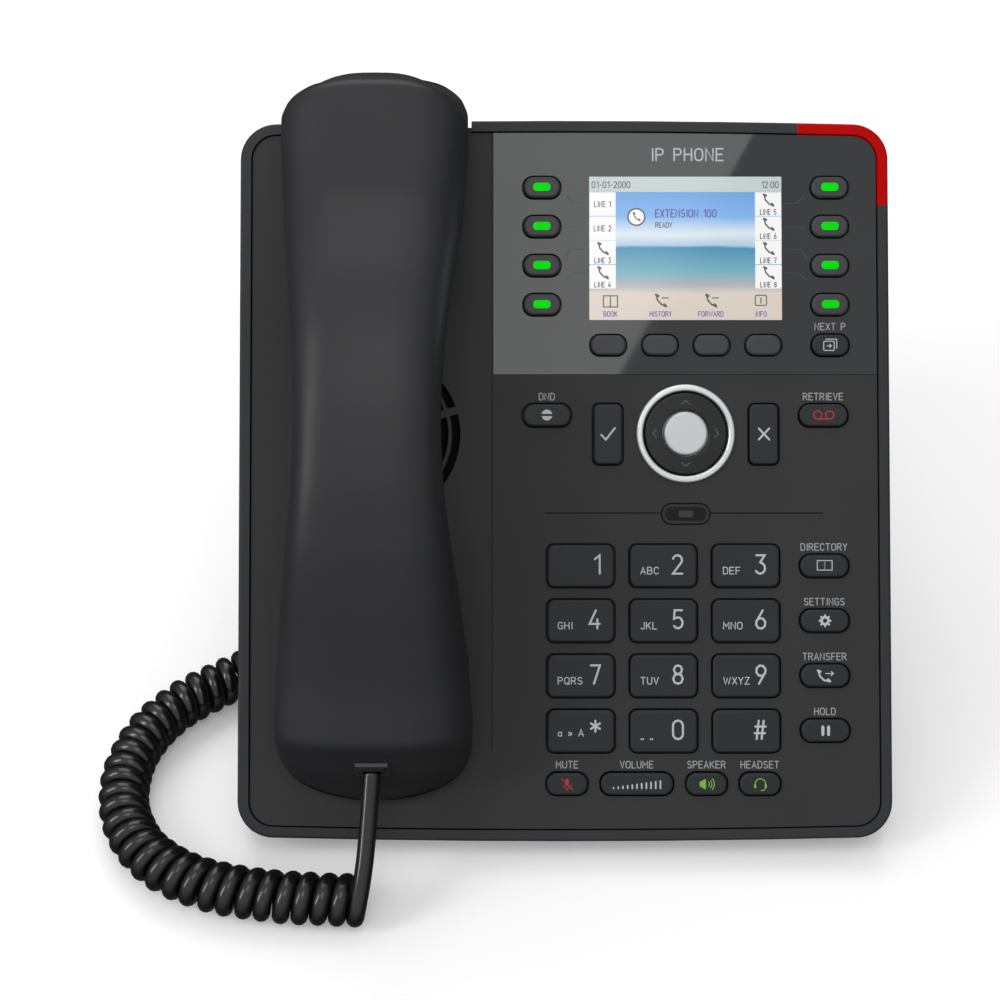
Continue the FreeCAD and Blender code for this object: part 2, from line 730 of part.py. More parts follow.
def well(name, end):
    """The outside and the inside of a well that takes one end of the handset."""
    start = size(f"{name}_start")
    corner = size(f"{name}_corner")
    half = size(f"{name}_width") / 2
    wall = size("well_wall")
    floor = -size("well_floor")
    u = size("cradle_u")
    outside = block(f"{name}_outside", (u - half - wall, start - wall, floor - wall),
                    (u + half + wall, end, -0.5), corner + wall)
    inside = block(f"{name}_inside", (u - half, start, floor), (u + half, end - wall, 6.0), corner)
    return outside, inside


def grille_slots():
    """Rings of curved slots in front of the loudspeaker, broken by ribs."""
    centre = Vector(size("cradle_u"), size("grille_v"), -6)
    rings = []
    for number in range(round(size("grille_rings"))):
        inner = size("grille_inner") + (number - 1) * size("grille_step")
        outer = inner + size("grille_slot")
        rings.append(Part.makeCylinder(outer, 8, centre).cut(Part.makeCylinder(inner, 8, centre)))
    ribs = []
    width = size("grille_rib")
    reach = size("grille_inner") + size("grille_rings") * size("grille_step")
    count = round(size("grille_ribs"))
    for number in range(count):
        rib = Part.makeBox(2 * reach, width, 10, Vector(-reach, -width / 2, -7))
        turn = size("grille_turn") + 180 * number / count
        rib.rotate(Vector(0, 0, 0), Vector(0, 0, 1), turn)
        rib.translate(Vector(centre.x, centre.y, 0))
        ribs.append(rib)
    slots = rings[0].multiFuse(rings[1:])
    return feature("grille_slots", slots.cut(ribs[0].multiFuse(ribs[1:])))


def cover_area(name, low_w, high_w, ease):
    """The part of the front that the display cover fills, from its lower left corner outwards."""
    low = (size("cover_left") - ease, size("cover_bottom") - ease, low_w)
    return block(name, low, (PAST_THE_EDGE, PAST_THE_EDGE, high_w))


def make_front():
    """The front panel with its wells and windows, and the glossy display cover let into it."""
    body = doc.addObject("PartDesign::Body", "panel")
    outline = new_sketch(body, "panel_outline", "-(sizes.panel_thickness)")
    draw_arched_outline(outline, "sizes.rim_width + sizes.parting_gap", "sizes.panel_corner",
                        "sizes.panel_arch_radius")
    pad(body, outline, "panel_plate", "sizes.panel_thickness")
    ear_outside, ear_inside = well("ear_well", size("ear_well_end"))
    mouth_outside, mouth_inside = well("mouth_well", size("mouth_well_end") + size("well_wall"))
    limit = body_limit()
    solid = common("panel_inside_body", [fuse("panel_solid", [body, ear_outside, mouth_outside]), limit])
    windows = feature("key_windows", Part.makeCompound(window_tools()))
    cover_seat = cover_area("cover_seat", -size("cover_thickness") - 0.05, 3.0, size("seat_ease"))
    half_u = size("screen_width") / 2
    half_v = size("screen_height") / 2
    screen_hole = block("screen_hole", (size("screen_u") - half_u, size("screen_v") - half_v, -5),
                        (size("screen_u") + half_u, size("screen_v") + half_v, 1))
    groove = block("cradle_groove", (size("groove_left"), size("groove_bottom"), -size("groove_depth")),
                   (size("groove_right"), PAST_THE_EDGE, ABOVE_THE_FRONT))
    nav_hole = cylinder("nav_hole", "sizes.bezel_outer + 0.05", "8.0",
                        (size("nav_u"), size("nav_v"), -6))
    hook_hole = cylinder("hook_hole", "sizes.plunger_radius + sizes.slide_ease", "10.0",
                         (size("cradle_u"), size("plunger_v"), -15))
    tools = [windows, cover_seat, screen_hole, groove, nav_hole, hook_hole, ear_inside, mouth_inside,
             grille_slots()]
    keep(cut("upper_housing", solid, fuse("front_openings", tools)), "upper_housing")
    sheet_body = doc.addObject("PartDesign::Body", "cover_sheet")
    cover_outline = new_sketch(sheet_body, "cover_outline", "-(sizes.cover_thickness)")
    draw_arched_outline(cover_outline, "sizes.rim_width + sizes.parting_gap", "sizes.panel_corner",
                        "sizes.panel_arch_radius")
    pad(sheet_body, cover_outline, "cover_thickness_pad", "sizes.cover_thickness")
    cover = common("cover_plate", [sheet_body, cover_area("cover_area", -3.0, 3.0, 0.0)])
    keep(cut("display_cover", cover, windows), "display_cover")


def body_limit():
    """The space inside the tray's walls, a hair clear of them."""
    body = doc.addObject("PartDesign::Body", "inside_limit")
    outline = new_sketch(body, "limit_outline", "-(sizes.body_depth)")
    draw_arched_outline(outline, "sizes.rim_width + sizes.fit_gap", "sizes.panel_corner", "sizes.panel_arch_radius")
    pad(body, outline, "limit_block", "sizes.body_depth + 2")
    return body


# ---------------------------------------------------------------- inside the body

def make_inside():
    module_top = -size("panel_thickness") - size("module_gap")
    half_u = size("module_width") / 2
    half_v = size("module_height") / 2
    module = block("lcd_block", (size("screen_u") - half_u, size("screen_v") - half_v,
                                 module_top - size("module_depth")),
                   (size("screen_u") + half_u, size("screen_v") + half_v, module_top),
                   size("module_corner"))
    keep(module, "lcd_module")
    top = -size("board_top_w")
    board = block("board_block", (size("board_left"), size("board_bottom"), top - size("board_thickness")),
                  (size("board_left") + size("board_width"),
                   size("board_bottom") + size("board_height"), top), size("board_corner"))
    reach = size("processor_size") / 2
    under = top - size("board_thickness")
    processor = block("board_processor", (size("processor_u") - reach, size("processor_v") - reach,
                                          under - size("processor_height")),
                      (size("processor_u") + reach, size("processor_v") + reach, under))
    keep(fuse("main_board", [board, processor]), "main_board")
    driver_top = -size("panel_thickness") - size("module_gap")
    place = (size("cradle_u"), size("grille_v"))
    frame = cylinder("driver_frame", "sizes.speaker_radius", "sizes.driver_frame_height",
                     (*place, driver_top - size("driver_frame_height")))
    magnet = cylinder("driver_magnet", "0.5*sizes.speaker_radius", "sizes.speaker_depth",
                      (*place, driver_top - size("speaker_depth")))
    keep(fuse("loudspeaker", [frame, magnet]), "loudspeaker")
    floor = -size("well_floor")
    place = (size("cradle_u"), size("plunger_v"))
    base = floor - size("plunger_length")
    post = cylinder("plunger_post", "sizes.plunger_radius", "sizes.plunger_length", (*place, base))
    collar = cylinder("plunger_flange", "sizes.plunger_flange_radius", "sizes.plunger_collar",
                      (*place, base))
    keep(fuse("hook_plunger", [post, collar]), "hook_plunger")


# The sockets in the recess: name, place along u, block's width, opening's width and height.
SOCKETS = [
    ("network_socket", 34.0, 16.0, 11.7, 6.8),
    ("computer_socket", 15.0, 16.0, 11.7, 6.8),
    ("headset_socket", -2.0, 13.0, 7.9, 6.2),
    ("usb_socket", -19.0, 16.0, 12.6, 5.4),
    ("power_socket", -37.0, 12.0, 7.0, 7.0),
]


def socket_block(name, u, width, opening_u, opening_w):
    """A cable socket whose mouth opens down the back, towards -v."""
    low_v = size("recess_top") + size("fit_gap")
    low_w = size("jack_low_w")
    high_w = size("jack_high_w") - size("fit_gap")
    middle = (low_w - size("recess_depth")) / 2
    shell = block(f"{name}_shell", (u - width / 2, low_v, low_w),
                  (u + width / 2, low_v + size("jack_length"), high_w))
    inner_end = low_v + size("jack_length") - size("jack_end_wall")
    mouth = block(f"{name}_mouth", (u - opening_u / 2, low_v - CUT_PAST, middle - opening_w / 2),
                  (u + opening_u / 2, inner_end, middle + opening_w / 2))
    return cut(name, shell, mouth)


def make_jacks():
    """Two network sockets, a headset socket, a USB socket, a power socket, the handset's socket."""
    pieces = [socket_block(*socket) for socket in SOCKETS]
    u = size("handset_jack_u")
    v = size("handset_jack_v")
    half = size("handset_jack_block") / 2
    inner = -size("body_depth") + size("wall")
    top = size("handset_jack_low_w")
    shell = block("handset_socket_shell", (u - half, v - half, inner + size("fit_gap")),
                  (u + half, v + half, top))
    opening = size("plug_width") / 2 + size("plug_ease")
    thick = size("plug_thickness") / 2 + size("plug_ease")
    mouth = block("handset_socket_mouth", (u - opening, v - thick, inner - CUT_PAST),
                  (u + opening, v + thick, top - size("handset_jack_wall")))
    pieces.append(cut("handset_socket", shell, mouth))
    group = doc.addObject("Part::Compound", "jacks")
    group.Links = pieces
    keep(group, "jacks")


# ---------------------------------------------------------------- stand and feet

def row_prism(name, points, half_width):
    """A prism along X, its side view given by (y, z) points of the row frame."""
    corners = [Vector(-half_width, y, z) for y, z in points]
    face = Part.Face(Part.makePolygon(corners + corners[:1]))
    return feature(name, face.extrude(Vector(2 * half_width, 0, 0)))


def make_stand():
    """A hollow wedge that clips to the back and carries the body's upper half."""
    back = -size("body_depth") - size("fit_gap")
    low = to_row(0, size("stand_plate_low"), back)
    high = to_row(0, size("stand_plate_high"), back)
    floor = size("foot_height")
    toe = size("stand_toe")
    heel = toe - size("stand_toe_length")
    half = size("stand_half_width")
    wall = size("stand_wall")
    outer = row_prism("stand_outer", [(low.y, low.z), (high.y, high.z), (high.y + 4, high.z - 2),
                                      (toe, floor), (heel, floor)], half)
    leg_edges = [edge for edge in outer.Shape.Edges
                 if edge.BoundBox.ZLength > 90 and edge.BoundBox.YLength > 15]
    outer.Shape = outer.Shape.makeFillet(size("stand_round"), leg_edges)
    lean = math.atan2(toe - high.y - 4, high.z - 2 - floor)
    inset = wall / math.cos(lean)
    plate = wall / COS
    crown_y = high.y - 1.0
    crown_z = low.z + (crown_y - low.y) * SIN / COS - plate
    leg_top = (toe - inset - (crown_z - floor) * math.tan(lean), crown_z)
    leg_foot = (toe - inset - wall * math.tan(lean), floor + wall)
    inner = row_prism("stand_inner", [(low.y - 30, low.z - 30 * SIN / COS - plate),
                                      (leg_top[0] - 3.0, low.z + (leg_top[0] - 3.0 - low.y) * SIN / COS - plate),
                                      (leg_top[0], leg_top[1] - 4.0),
                                      leg_foot, (low.y - 30, floor + wall)], half - wall)
    keep(cut("stand", outer, inner), "stand", Placement())


def make_feet():
    """Four rubber pads: two under the body's facet, two under the stand's toe."""
    long_side = size("pad_length") / 2
    facet = to_row(0, -size("body_height") / 2, -size("desk_facet_start"))
    front_y = facet.y + size("front_pad_inset")
    rear_y = size("stand_toe") - size("stand_toe_length") / 2 - size("pad_width") / 2
    top = size("foot_height")
    pads = []
    for side in (-1, 1):
        for name, y in (("front", front_y), ("rear", rear_y)):
            centre = side * size(f"{name}_pad_u")
            pads.append(block(f"{name}_pad_{side + 1}", (centre - long_side, y, 0),
                              (centre + long_side, y + size("pad_width"), top), size("pad_corner")))
    group = doc.addObject("Part::Compound", "feet")
    group.Links = pads
    keep(group, "feet", Placement())


# ---------------------------------------------------------------- handset

def sound_slot(length, v):
    """A tool that cuts one slot, square across the handset, through its face's wall."""
    low = Vector(size("cradle_u") - length / 2, v, -size("well_floor") - CUT_PAST)
    return Part.makeBox(length, size("slot_width"), size("well_floor"), low)


def handset_outline(v, width, low, high, inset):
    """One cross-section: a full back, softened corners and a flatter inner side."""
    half = width / 2 - inset
    top = high - inset
    bottom = low + inset
    middle = bottom + SECTION_MIDDLE * (top - bottom)
    points = []
    for step in range(SECTION_POINTS):
        angle = 2 * math.pi * (step + 0.5) / SECTION_POINTS
        across = math.cos(angle)
        along = math.sin(angle)
        power = SECTION_UPPER_POWER if along >= 0 else SECTION_LOWER_POWER
        u = half * math.copysign(abs(across) ** power, across)
        reach = (top - middle) if along >= 0 else (middle - bottom)
        w = middle + reach * math.copysign(abs(along) ** power, along)
        points.append(Vector(size("cradle_u") + u, v, w))
    curve = Part.BSplineCurve()
    curve.interpolate(Points=points, PeriodicFlag=True)
    return Part.Wire([curve.toShape()])


def handset_solid(inset):
    sections = HANDSET_SECTIONS if not inset else HANDSET_SECTIONS[2:-2]
    wires = [handset_outline(v, width, low, high, inset) for v, width, low, high in sections]
    return Part.makeLoft(wires, True, False)


def make_handset():
    """The handset's two shells and the plug's socket between them."""
    outer = handset_solid(0.0)
    inner = handset_solid(size("handset_wall"))
    u = size("cradle_u")
    reach = 40.0
    below = [Vector(u - reach, v, w) for v, w in HANDSET_PARTING]
    below += [Vector(u - reach, HANDSET_PARTING[-1][0], -20), Vector(u - reach, HANDSET_PARTING[0][0], -20)]
    lower_side = Part.Face(Part.makePolygon(below + below[:1])).extrude(Vector(2 * reach, 0, 0))
    half = size("plug_width") / 2 + size("plug_ease")
    thick = size("plug_thickness") / 2 + size("plug_ease")
    socket = Part.makeBox(2 * half, size("plug_length") + 10, 2 * thick,
                          Vector(u - half, size("plug_v") - 10, size("plug_w") - thick))
    wall = size("jack_wall")
    jack = Part.makeBox(2 * (half + wall), size("plug_length") + wall, 2 * (thick + wall),
                        Vector(u - half - wall, size("plug_v"), size("plug_w") - thick - wall))
    jack = jack.common(outer)
    shell = outer.cut(inner).fuse(jack).cut(socket)
    step = size("ear_slot_step")
    slots = [sound_slot(size("ear_slot_length") - step * abs(row), size("receiver_v") + step * row)
             for row in range(-2, 3)]
    slots.append(sound_slot(size("mouth_slot_length"), size("microphone_v")))
    face = shell.common(lower_side).cut(slots[0].multiFuse(slots[1:]))
    back = shell.cut(lower_side)
    keep(feature("handset_back", max(back.Solids, key=lambda solid: solid.Volume)), "handset_back")
    keep(feature("handset_face", max(face.Solids, key=lambda solid: solid.Volume)), "handset_face")
    low = size("capsule_low_w")
    receiver = cylinder("receiver", "sizes.receiver_radius", "sizes.receiver_depth",
                        (u, size("receiver_v"), low))
    microphone = cylinder("microphone", "sizes.microphone_radius", "sizes.microphone_depth",
                          (u, size("microphone_v"), low))
    group = doc.addObject("Part::Compound", "handset_capsules")
    group.Links = [receiver, microphone]
    keep(group, "handset_capsules")


# ---------------------------------------------------------------- cord

def plug_body(name, length):
    """A modular plug, its cord end rounded down."""
    half = size("plug_width") / 2
    thick = size("plug_thickness") / 2
    return block(name, (-half, -thick, 0), (half, thick, length), 0.6)


def make_plugs():
    plug = plug_body("handset_plug", size("plug_length"))
    along = Rotation(Vector(1, 0, 0), -90)
    place = Placement(Vector(size("cradle_u"), size("plug_v"), size("plug_w")), along)
    keep(plug, "handset_plug", FACE.multiply(place))
    length = size("base_plug_out") + size("wall") + 7.0
    base = plug_body("base_plug", length)
    place = Placement(Vector(size("handset_jack_u"), size("handset_jack_v"),
                             -size("body_depth") - size("base_plug_out")), Rotation())
    keep(base, "base_plug", FACE.multiply(place))


def tube(points, diameter, name):
    """A round tube along straight runs joined by tangent arcs, with its check sums printed."""
    places = [Vector(*point) for point in points]
    edges = []
    start = places[0]
    for before, corner, after in zip(places, places[1:], places[2:]):
        arriving = (corner - before).normalize()
        leaving = (after - corner).normalize()
        turn = arriving.getAngle(leaving)
        shorter = min((corner - before).Length, (after - corner).Length)
        reach = 0.45 * shorter
        radius = reach / math.tan(turn / 2)
        first = corner - arriving * reach
        last = corner + leaving * reach
        bisector = (leaving - arriving).normalize()
        centre = corner + bisector * math.hypot(radius, reach)
        middle = centre - bisector * radius
        edges.append(Part.LineSegment(start, first).toShape())
        edges.append(Part.Arc(first, middle, last).toShape())
        print(f"{name}: turn {math.degrees(turn):.1f} deg, radius {radius:.1f} mm,"
              f" {radius / diameter:.1f} diameters")
        start = last
    edges.append(Part.LineSegment(start, places[-1]).toShape())
    path = Part.Wire(edges)
    heading = (places[1] - places[0]).normalize()
    ring = Part.Wire([Part.makeCircle(diameter / 2, places[0], heading)])
    solid = path.makePipeShell([ring], True, False)
    expected = math.pi * diameter ** 2 / 4 * path.Length
    print(f"{name}: length {path.Length:.1f} mm, volume {solid.Volume:.0f} of {expected:.0f} mm3")
    if abs(solid.Volume / expected - 1) > 0.02:
        raise RuntimeError(f"{name} doesn't hold its section along its route")
    return solid


def make_cord():
    across = size("coil_diameter")
    axis = [(x, y, across / 2) for x, y in COIL_AXIS]
    coil = feature("cord_coil", tube(axis, across, "coil"))
    keep(coil, "cord_coil", Placement())
    thin = size("cord_diameter")
    leads = doc.addObject("Part::Compound", "cord_leads")
    leads.Links = [feature("handset_lead", tube(HANDSET_LEAD, thin, "handset lead")),
                   feature("base_lead", tube(BASE_LEAD, thin, "base lead"))]
    keep(leads, "cord_leads", Placement())


# ---------------------------------------------------------------- make, check, write

make_keys()
make_navigation()
make_lower_housing()
make_screws()
make_front()
make_inside()
make_jacks()
make_stand()
make_feet()
make_handset()
make_plugs()
make_cord()
doc.recompute()

for item in doc.Objects:
    if "Invalid" in item.State or "Error" in item.State:
        raise RuntimeError(f"{item.Label} failed: {item.State}")
for label, item in sub_parts.items():
    if item.Shape.isNull() or not item.Shape.isValid():
        raise RuntimeError(f"{label} has no valid shape")

CORD_PIECES = ("handset_plug", "base_plug", "cord_leads", "cord_coil")
bounds = FreeCAD.BoundBox()
for label, item in sub_parts.items():
    if label not in CORD_PIECES:
        bounds.add(item.Shape.optimalBoundingBox(False, False))
print(f"{len(sub_parts)} sub-parts")
print(f"x {bounds.XMin:.3f} to {bounds.XMax:.3f}, y {bounds.YMin:.3f} to {bounds.YMax:.3f},"
      f" z {bounds.ZMin:.3f} to {bounds.ZMax:.3f}")

os.makedirs("parts", exist_ok=True)
for label, item in sub_parts.items():
    item.Shape.exportStep(f"parts/{label}.step")
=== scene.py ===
import json
import math
from dataclasses import dataclass, field

import bpy
from mathutils import Matrix, Vector


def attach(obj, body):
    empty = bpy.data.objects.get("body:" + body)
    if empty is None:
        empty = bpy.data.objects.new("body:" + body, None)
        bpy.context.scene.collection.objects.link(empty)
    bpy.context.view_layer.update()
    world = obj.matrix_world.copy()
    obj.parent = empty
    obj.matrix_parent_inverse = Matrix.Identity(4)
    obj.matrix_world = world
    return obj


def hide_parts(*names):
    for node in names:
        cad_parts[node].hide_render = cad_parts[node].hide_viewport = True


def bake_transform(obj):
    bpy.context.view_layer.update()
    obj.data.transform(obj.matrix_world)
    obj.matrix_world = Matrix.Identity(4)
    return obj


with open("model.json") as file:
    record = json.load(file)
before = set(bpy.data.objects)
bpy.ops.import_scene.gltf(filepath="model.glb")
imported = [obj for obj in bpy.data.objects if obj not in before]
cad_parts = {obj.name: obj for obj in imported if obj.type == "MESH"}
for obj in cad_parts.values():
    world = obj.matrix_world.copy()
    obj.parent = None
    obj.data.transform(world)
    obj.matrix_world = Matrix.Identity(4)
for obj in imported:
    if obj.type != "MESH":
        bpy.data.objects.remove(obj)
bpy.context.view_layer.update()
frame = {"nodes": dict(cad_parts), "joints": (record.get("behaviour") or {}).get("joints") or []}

# A desk IP phone. Sizes here are millimetres in the phone's FACE frame: u to the right, v up the
# front panel, w out of it, with w = 0 on the matte front surface. at() takes them to the row frame.
MM = 0.001
JOINTS = {joint["name"]: joint for joint in frame["joints"]}
RIGHT = Vector((1.0, 0.0, 0.0))
OUT = Vector(JOINTS["handset_lift"]["axis"]).normalized()
UP = OUT.cross(RIGHT).normalized()
NAV = (34.4, 12.8)
NAV_PIVOT_W = -1.0
ORIGIN = (Vector(JOINTS["nav_up_down"]["pos_m"])
          - MM * (NAV[0] * RIGHT + NAV[1] * UP + NAV_PIVOT_W * OUT))


def at(u, v, w=0.0):
    """A point of the face frame, in the row frame, in metres."""
    return ORIGIN + MM * (u * RIGHT + v * UP + w * OUT)


def face_of(point):
    """The face frame's (u, v, w) of a point in the row frame."""
    offset = (Vector(point) - ORIGIN) / MM
    return offset.dot(RIGHT), offset.dot(UP), offset.dot(OUT)


def corners_of(node):
    """The least and the greatest (u, v, w) of a CAD node's vertices."""
    spots = [face_of(vertex.co) for vertex in frame["nodes"][node].data.vertices]
    return [[pick(spot[axis] for spot in spots) for axis in range(3)] for pick in (min, max)]


def centre_of(node):
    """The middle of a CAD node's cap in the face frame."""
    low, high = corners_of(node)
    return (low[0] + high[0]) / 2, (low[1] + high[1]) / 2


def top_of(node):
    """The height of a CAD node's outer surface over the front panel."""
    return corners_of(node)[1][2]


SCREEN_U = 34.6
SCREEN_V = 65.8
SCREEN_W = 54.9
SCREEN_H = 41.1


# ------------------------------------------------------------------ camera and light

CAMERA_DISTANCE = 520.0
CAMERA_LEAN = math.radians(2.0)
AIM = (-18.33, -6.1)
LENS = 65.9


def make_camera():
    """The camera looks almost straight at the front panel, a little from below its normal."""
    data = bpy.data.cameras.new("camera")
    camera = bpy.data.objects.new("camera", data)
    bpy.context.scene.collection.objects.link(camera)
    place = at(AIM[0], AIM[1] - CAMERA_DISTANCE * math.sin(CAMERA_LEAN),
               CAMERA_DISTANCE * math.cos(CAMERA_LEAN))
    backward = (place - at(*AIM)).normalized()
    upward = backward.cross(RIGHT)
    axes = Matrix((RIGHT, upward, backward)).transposed().to_4x4()
    camera.matrix_world = Matrix.Translation(place) @ axes
    data.lens = LENS
    data.clip_start = 0.01
    data.clip_end = 20
    bpy.context.scene.camera = camera


# Each lamp's place, the point it faces, its width and height, and its power in watts.
LAMPS = {
    "key_light": ((-0.10, 0.85, 1.15), (0, 0, 0.05), 1.1, 1.1, 7.0),
    "side_light": ((-1.1, -0.45, 0.70), (-0.05, 0, 0.08), 0.25, 0.9, 5.0),
}
FLOOR_EDGE = 6
FLOOR_WHITE = (0.88, 0.88, 0.88, 1)
FLOOR_GLOW = 0.20
# The sky is brightest at its centre and falls off to the ground's light, over this range of the
# cosine of the angle from the centre.
SKY_CENTRE = (-0.15, -0.55, 0.8)
SKY_RANGE = (-0.35, 0.95)
SKY_LIGHT = 0.79
GROUND_LIGHT = 0.06
# A softbox over the front, at this height over the panel; its lower right edge runs between these
# two points, and it shows in the glossy cover as a slanted light patch.
SOFTBOX_HEIGHT = 700.0
SOFTBOX_EDGE = ((61.8, 102.4), (151.7, 264.6))
SOFTBOX_SIZE = (360.0, 300.0)
SOFTBOX_RADIANCE = 1.9


def add_area(name, width, height, power):
    """A rectangular light, still to be placed."""
    data = bpy.data.lights.new(name, "AREA")
    data.shape = "RECTANGLE"
    data.size = width
    data.size_y = height
    data.energy = power
    light = bpy.data.objects.new(name, data)
    bpy.context.scene.collection.objects.link(light)
    return light


def add_softbox():
    """The soft card light over the display, square on to the front panel."""
    low, high = (Vector(point) for point in SOFTBOX_EDGE)
    along = (high - low).normalized()
    inward = Vector((-along.y, along.x))
    middle = (low + high) / 2 + inward * SOFTBOX_SIZE[1] / 2
    width, height = (edge * MM for edge in SOFTBOX_SIZE)
    light = add_area("softbox", width, height, math.pi * width * height * SOFTBOX_RADIANCE)
    along_row = (RIGHT * along.x + UP * along.y).normalized()
    axes = Matrix((along_row, OUT.cross(along_row), OUT)).transposed().to_4x4()
    light.matrix_world = Matrix.Translation(at(middle.x, middle.y, SOFTBOX_HEIGHT)) @ axes


def make_world():
    """Soft white light, strongest from the front and above, and little from below or behind."""
    world = bpy.data.worlds.new("studio")
    bpy.context.scene.world = world
    world.use_nodes = True
    nodes = world.node_tree.nodes
    links = world.node_tree.links
    place = add_node(nodes, "TexCoord")
    centre = Vector(SKY_CENTRE).normalized()
    towards = add_node(nodes, "VectorMath", {1: centre}, operation="DOT_PRODUCT")
    links.new(place.outputs["Generated"], towards.inputs[0])
    strength = add_range(nodes, links, towards.outputs["Value"], (GROUND_LIGHT, SKY_LIGHT),
                         SKY_RANGE, "SMOOTHSTEP")
    links.new(strength, nodes["Background"].inputs["Strength"])
    nodes["Background"].inputs["Color"].default_value = (1, 1, 1, 1)


def make_studio():
    """A white floor under soft light that comes mostly from above and behind the phone."""
    bpy.context.scene.view_settings.view_transform = "Standard"
    make_world()
    for name, (place, aim, width, height, power) in LAMPS.items():
        light = add_area(name, width, height, power)
        light.location = place
        light.rotation_euler = (Vector(aim) - Vector(place)).to_track_quat("-Z", "Y").to_euler()
    add_softbox()
    bpy.ops.mesh.primitive_plane_add(size=1)
    floor = bpy.context.active_object
    floor.name = "floor"
    floor.scale = (FLOOR_EDGE, FLOOR_EDGE, 1)
    floor.visible_diffuse = False
    floor.visible_glossy = False
    floor.data.materials.append(plain_floor())


# ------------------------------------------------------------------ materials

def add_node(nodes, kind, inputs=None, **settings):
    """A new shader node with its settings and some of its inputs given."""
    node = nodes.new("ShaderNode" + kind)
    for name, value in settings.items():
        setattr(node, name, value)
    set_inputs(node, inputs or {})
    return node


def set_inputs(node, inputs):
    for name, value in inputs.items():
        node.inputs[name].default_value = value


def new_material(name):
    material = bpy.data.materials.new(name)
    material.use_nodes = True
    nodes = material.node_tree.nodes
    return material, nodes, material.node_tree.links, nodes["Principled BSDF"]


def plain_floor():
    material, _, _, shader = new_material("floor_white")
    set_inputs(shader, {"Base Color": FLOOR_WHITE, "Emission Color": (1, 1, 1, 1),
                        "Emission Strength": FLOOR_GLOW, "Roughness": 0.9,
                        "Specular IOR Level": 0.1})
    return material


def add_noise(nodes, links, scale, detail=3.0):
    place = add_node(nodes, "TexCoord")
    noise = add_node(nodes, "TexNoise", {"Scale": scale, "Detail": detail, "Roughness": 0.5})
    links.new(place.outputs["Object"], noise.inputs["Vector"])
    return noise.outputs["Fac"]


def add_range(nodes, links, source, target, given=(0.0, 1.0), shape="LINEAR"):
    """Map a value from the given range to the target range."""
    scale = add_node(nodes, "MapRange", {"From Min": given[0], "From Max": given[1],
                                         "To Min": target[0], "To Max": target[1]},
                     interpolation_type=shape)
    links.new(source, scale.inputs["Value"])
    return scale.outputs["Result"]


def add_tint(nodes, links, source, dark, light):
    """Blend between two near colours by a 0 to 1 value."""
    ramp = add_node(nodes, "ValToRGB")
    for element, position, colour in zip(ramp.color_ramp.elements, (0.3, 0.7), (dark, light)):
        element.position = position
        element.color = (*colour, 1)
    links.new(source, ramp.inputs["Fac"])
    return ramp.outputs["Color"]


def add_bump(nodes, links, shader, source, strength, depth):
    """Raise the surface by up to a depth in metres, by a value."""
    bump = add_node(nodes, "Bump", {"Strength": strength, "Distance": depth})
    links.new(source, bump.inputs["Height"])
    links.new(bump.outputs["Normal"], shader.inputs["Normal"])


# How far a surface's colour and roughness wander from their middle values.
COLOUR_SPREAD = 0.08
ROUGHNESS_SPREAD = 0.05


def moulded_plastic(name, colour, roughness, grain, depth, coat, specular):
    """Moulded plastic: a fine spark-eroded grain over slow changes in colour and sheen."""
    material, nodes, links, shader = new_material(name)
    slow = add_noise(nodes, links, 28.0)
    dark = tuple(channel * (1 - COLOUR_SPREAD) for channel in colour)
    light = tuple(channel * (1 + COLOUR_SPREAD) for channel in colour)
    links.new(add_tint(nodes, links, slow, dark, light), shader.inputs["Base Color"])
    sheen = (roughness - ROUGHNESS_SPREAD, roughness + ROUGHNESS_SPREAD)
    links.new(add_range(nodes, links, slow, sheen), shader.inputs["Roughness"])
    if depth:
        add_bump(nodes, links, shader, add_noise(nodes, links, grain, 2.0), 0.35, depth)
    set_inputs(shader, {"Specular IOR Level": specular, "Coat Weight": coat,
                        "Coat Roughness": 0.06})
    return material


def spun_metal(name, colour, roughness, centre, rings, metal=1.0):
    """Turned bright metal: fine rings about a centre on the front."""
    material, nodes, links, shader = new_material(name)
    place = add_node(nodes, "TexCoord")
    offset = add_node(nodes, "VectorMath", {1: centre}, operation="DISTANCE")
    scale = add_node(nodes, "Math", {1: rings}, operation="MULTIPLY")
    wave = add_node(nodes, "Math", operation="SINE")
    links.new(place.outputs["Object"], offset.inputs[0])
    links.new(offset.outputs["Value"], scale.inputs[0])
    links.new(scale.outputs[0], wave.inputs[0])
    sheen = (roughness - ROUGHNESS_SPREAD, roughness + ROUGHNESS_SPREAD)
    ringed = add_range(nodes, links, wave.outputs[0], sheen, (-1.0, 1.0))
    links.new(ringed, shader.inputs["Roughness"])
    add_bump(nodes, links, shader, wave.outputs[0], 0.12, 0.00001)
    set_inputs(shader, {"Base Color": (*colour, 1), "Metallic": metal})
    return material


def lit_lens(name, colour, glow, strength):
    """A moulded light window, lit from behind and a little uneven."""
    material, nodes, links, shader = new_material(name)
    dark = tuple(channel * 0.8 for channel in glow)
    tint = add_tint(nodes, links, add_noise(nodes, links, 180.0, 2.0), dark, glow)
    links.new(tint, shader.inputs["Emission Color"])
    set_inputs(shader, {"Base Color": (*colour, 1), "Roughness": 0.4,
                        "Specular IOR Level": 0.05, "Emission Strength": strength})
    return material


def ink(name, colour, strength=0.0):
    """Printed ink with a slight speckle; where a strength is given it also glows a little, painted
    light on an ink that is no lamp.
    """
    material, nodes, links, shader = new_material(name)
    dark = tuple(channel * 0.92 for channel in colour)
    tint = add_tint(nodes, links, add_noise(nodes, links, 4000.0, 1.0), dark, colour)
    links.new(tint, shader.inputs["Base Color"])
    shader.inputs["Roughness"].default_value = 0.55
    if strength:
        links.new(tint, shader.inputs["Emission Color"])
        shader.inputs["Emission Strength"].default_value = strength
    return material


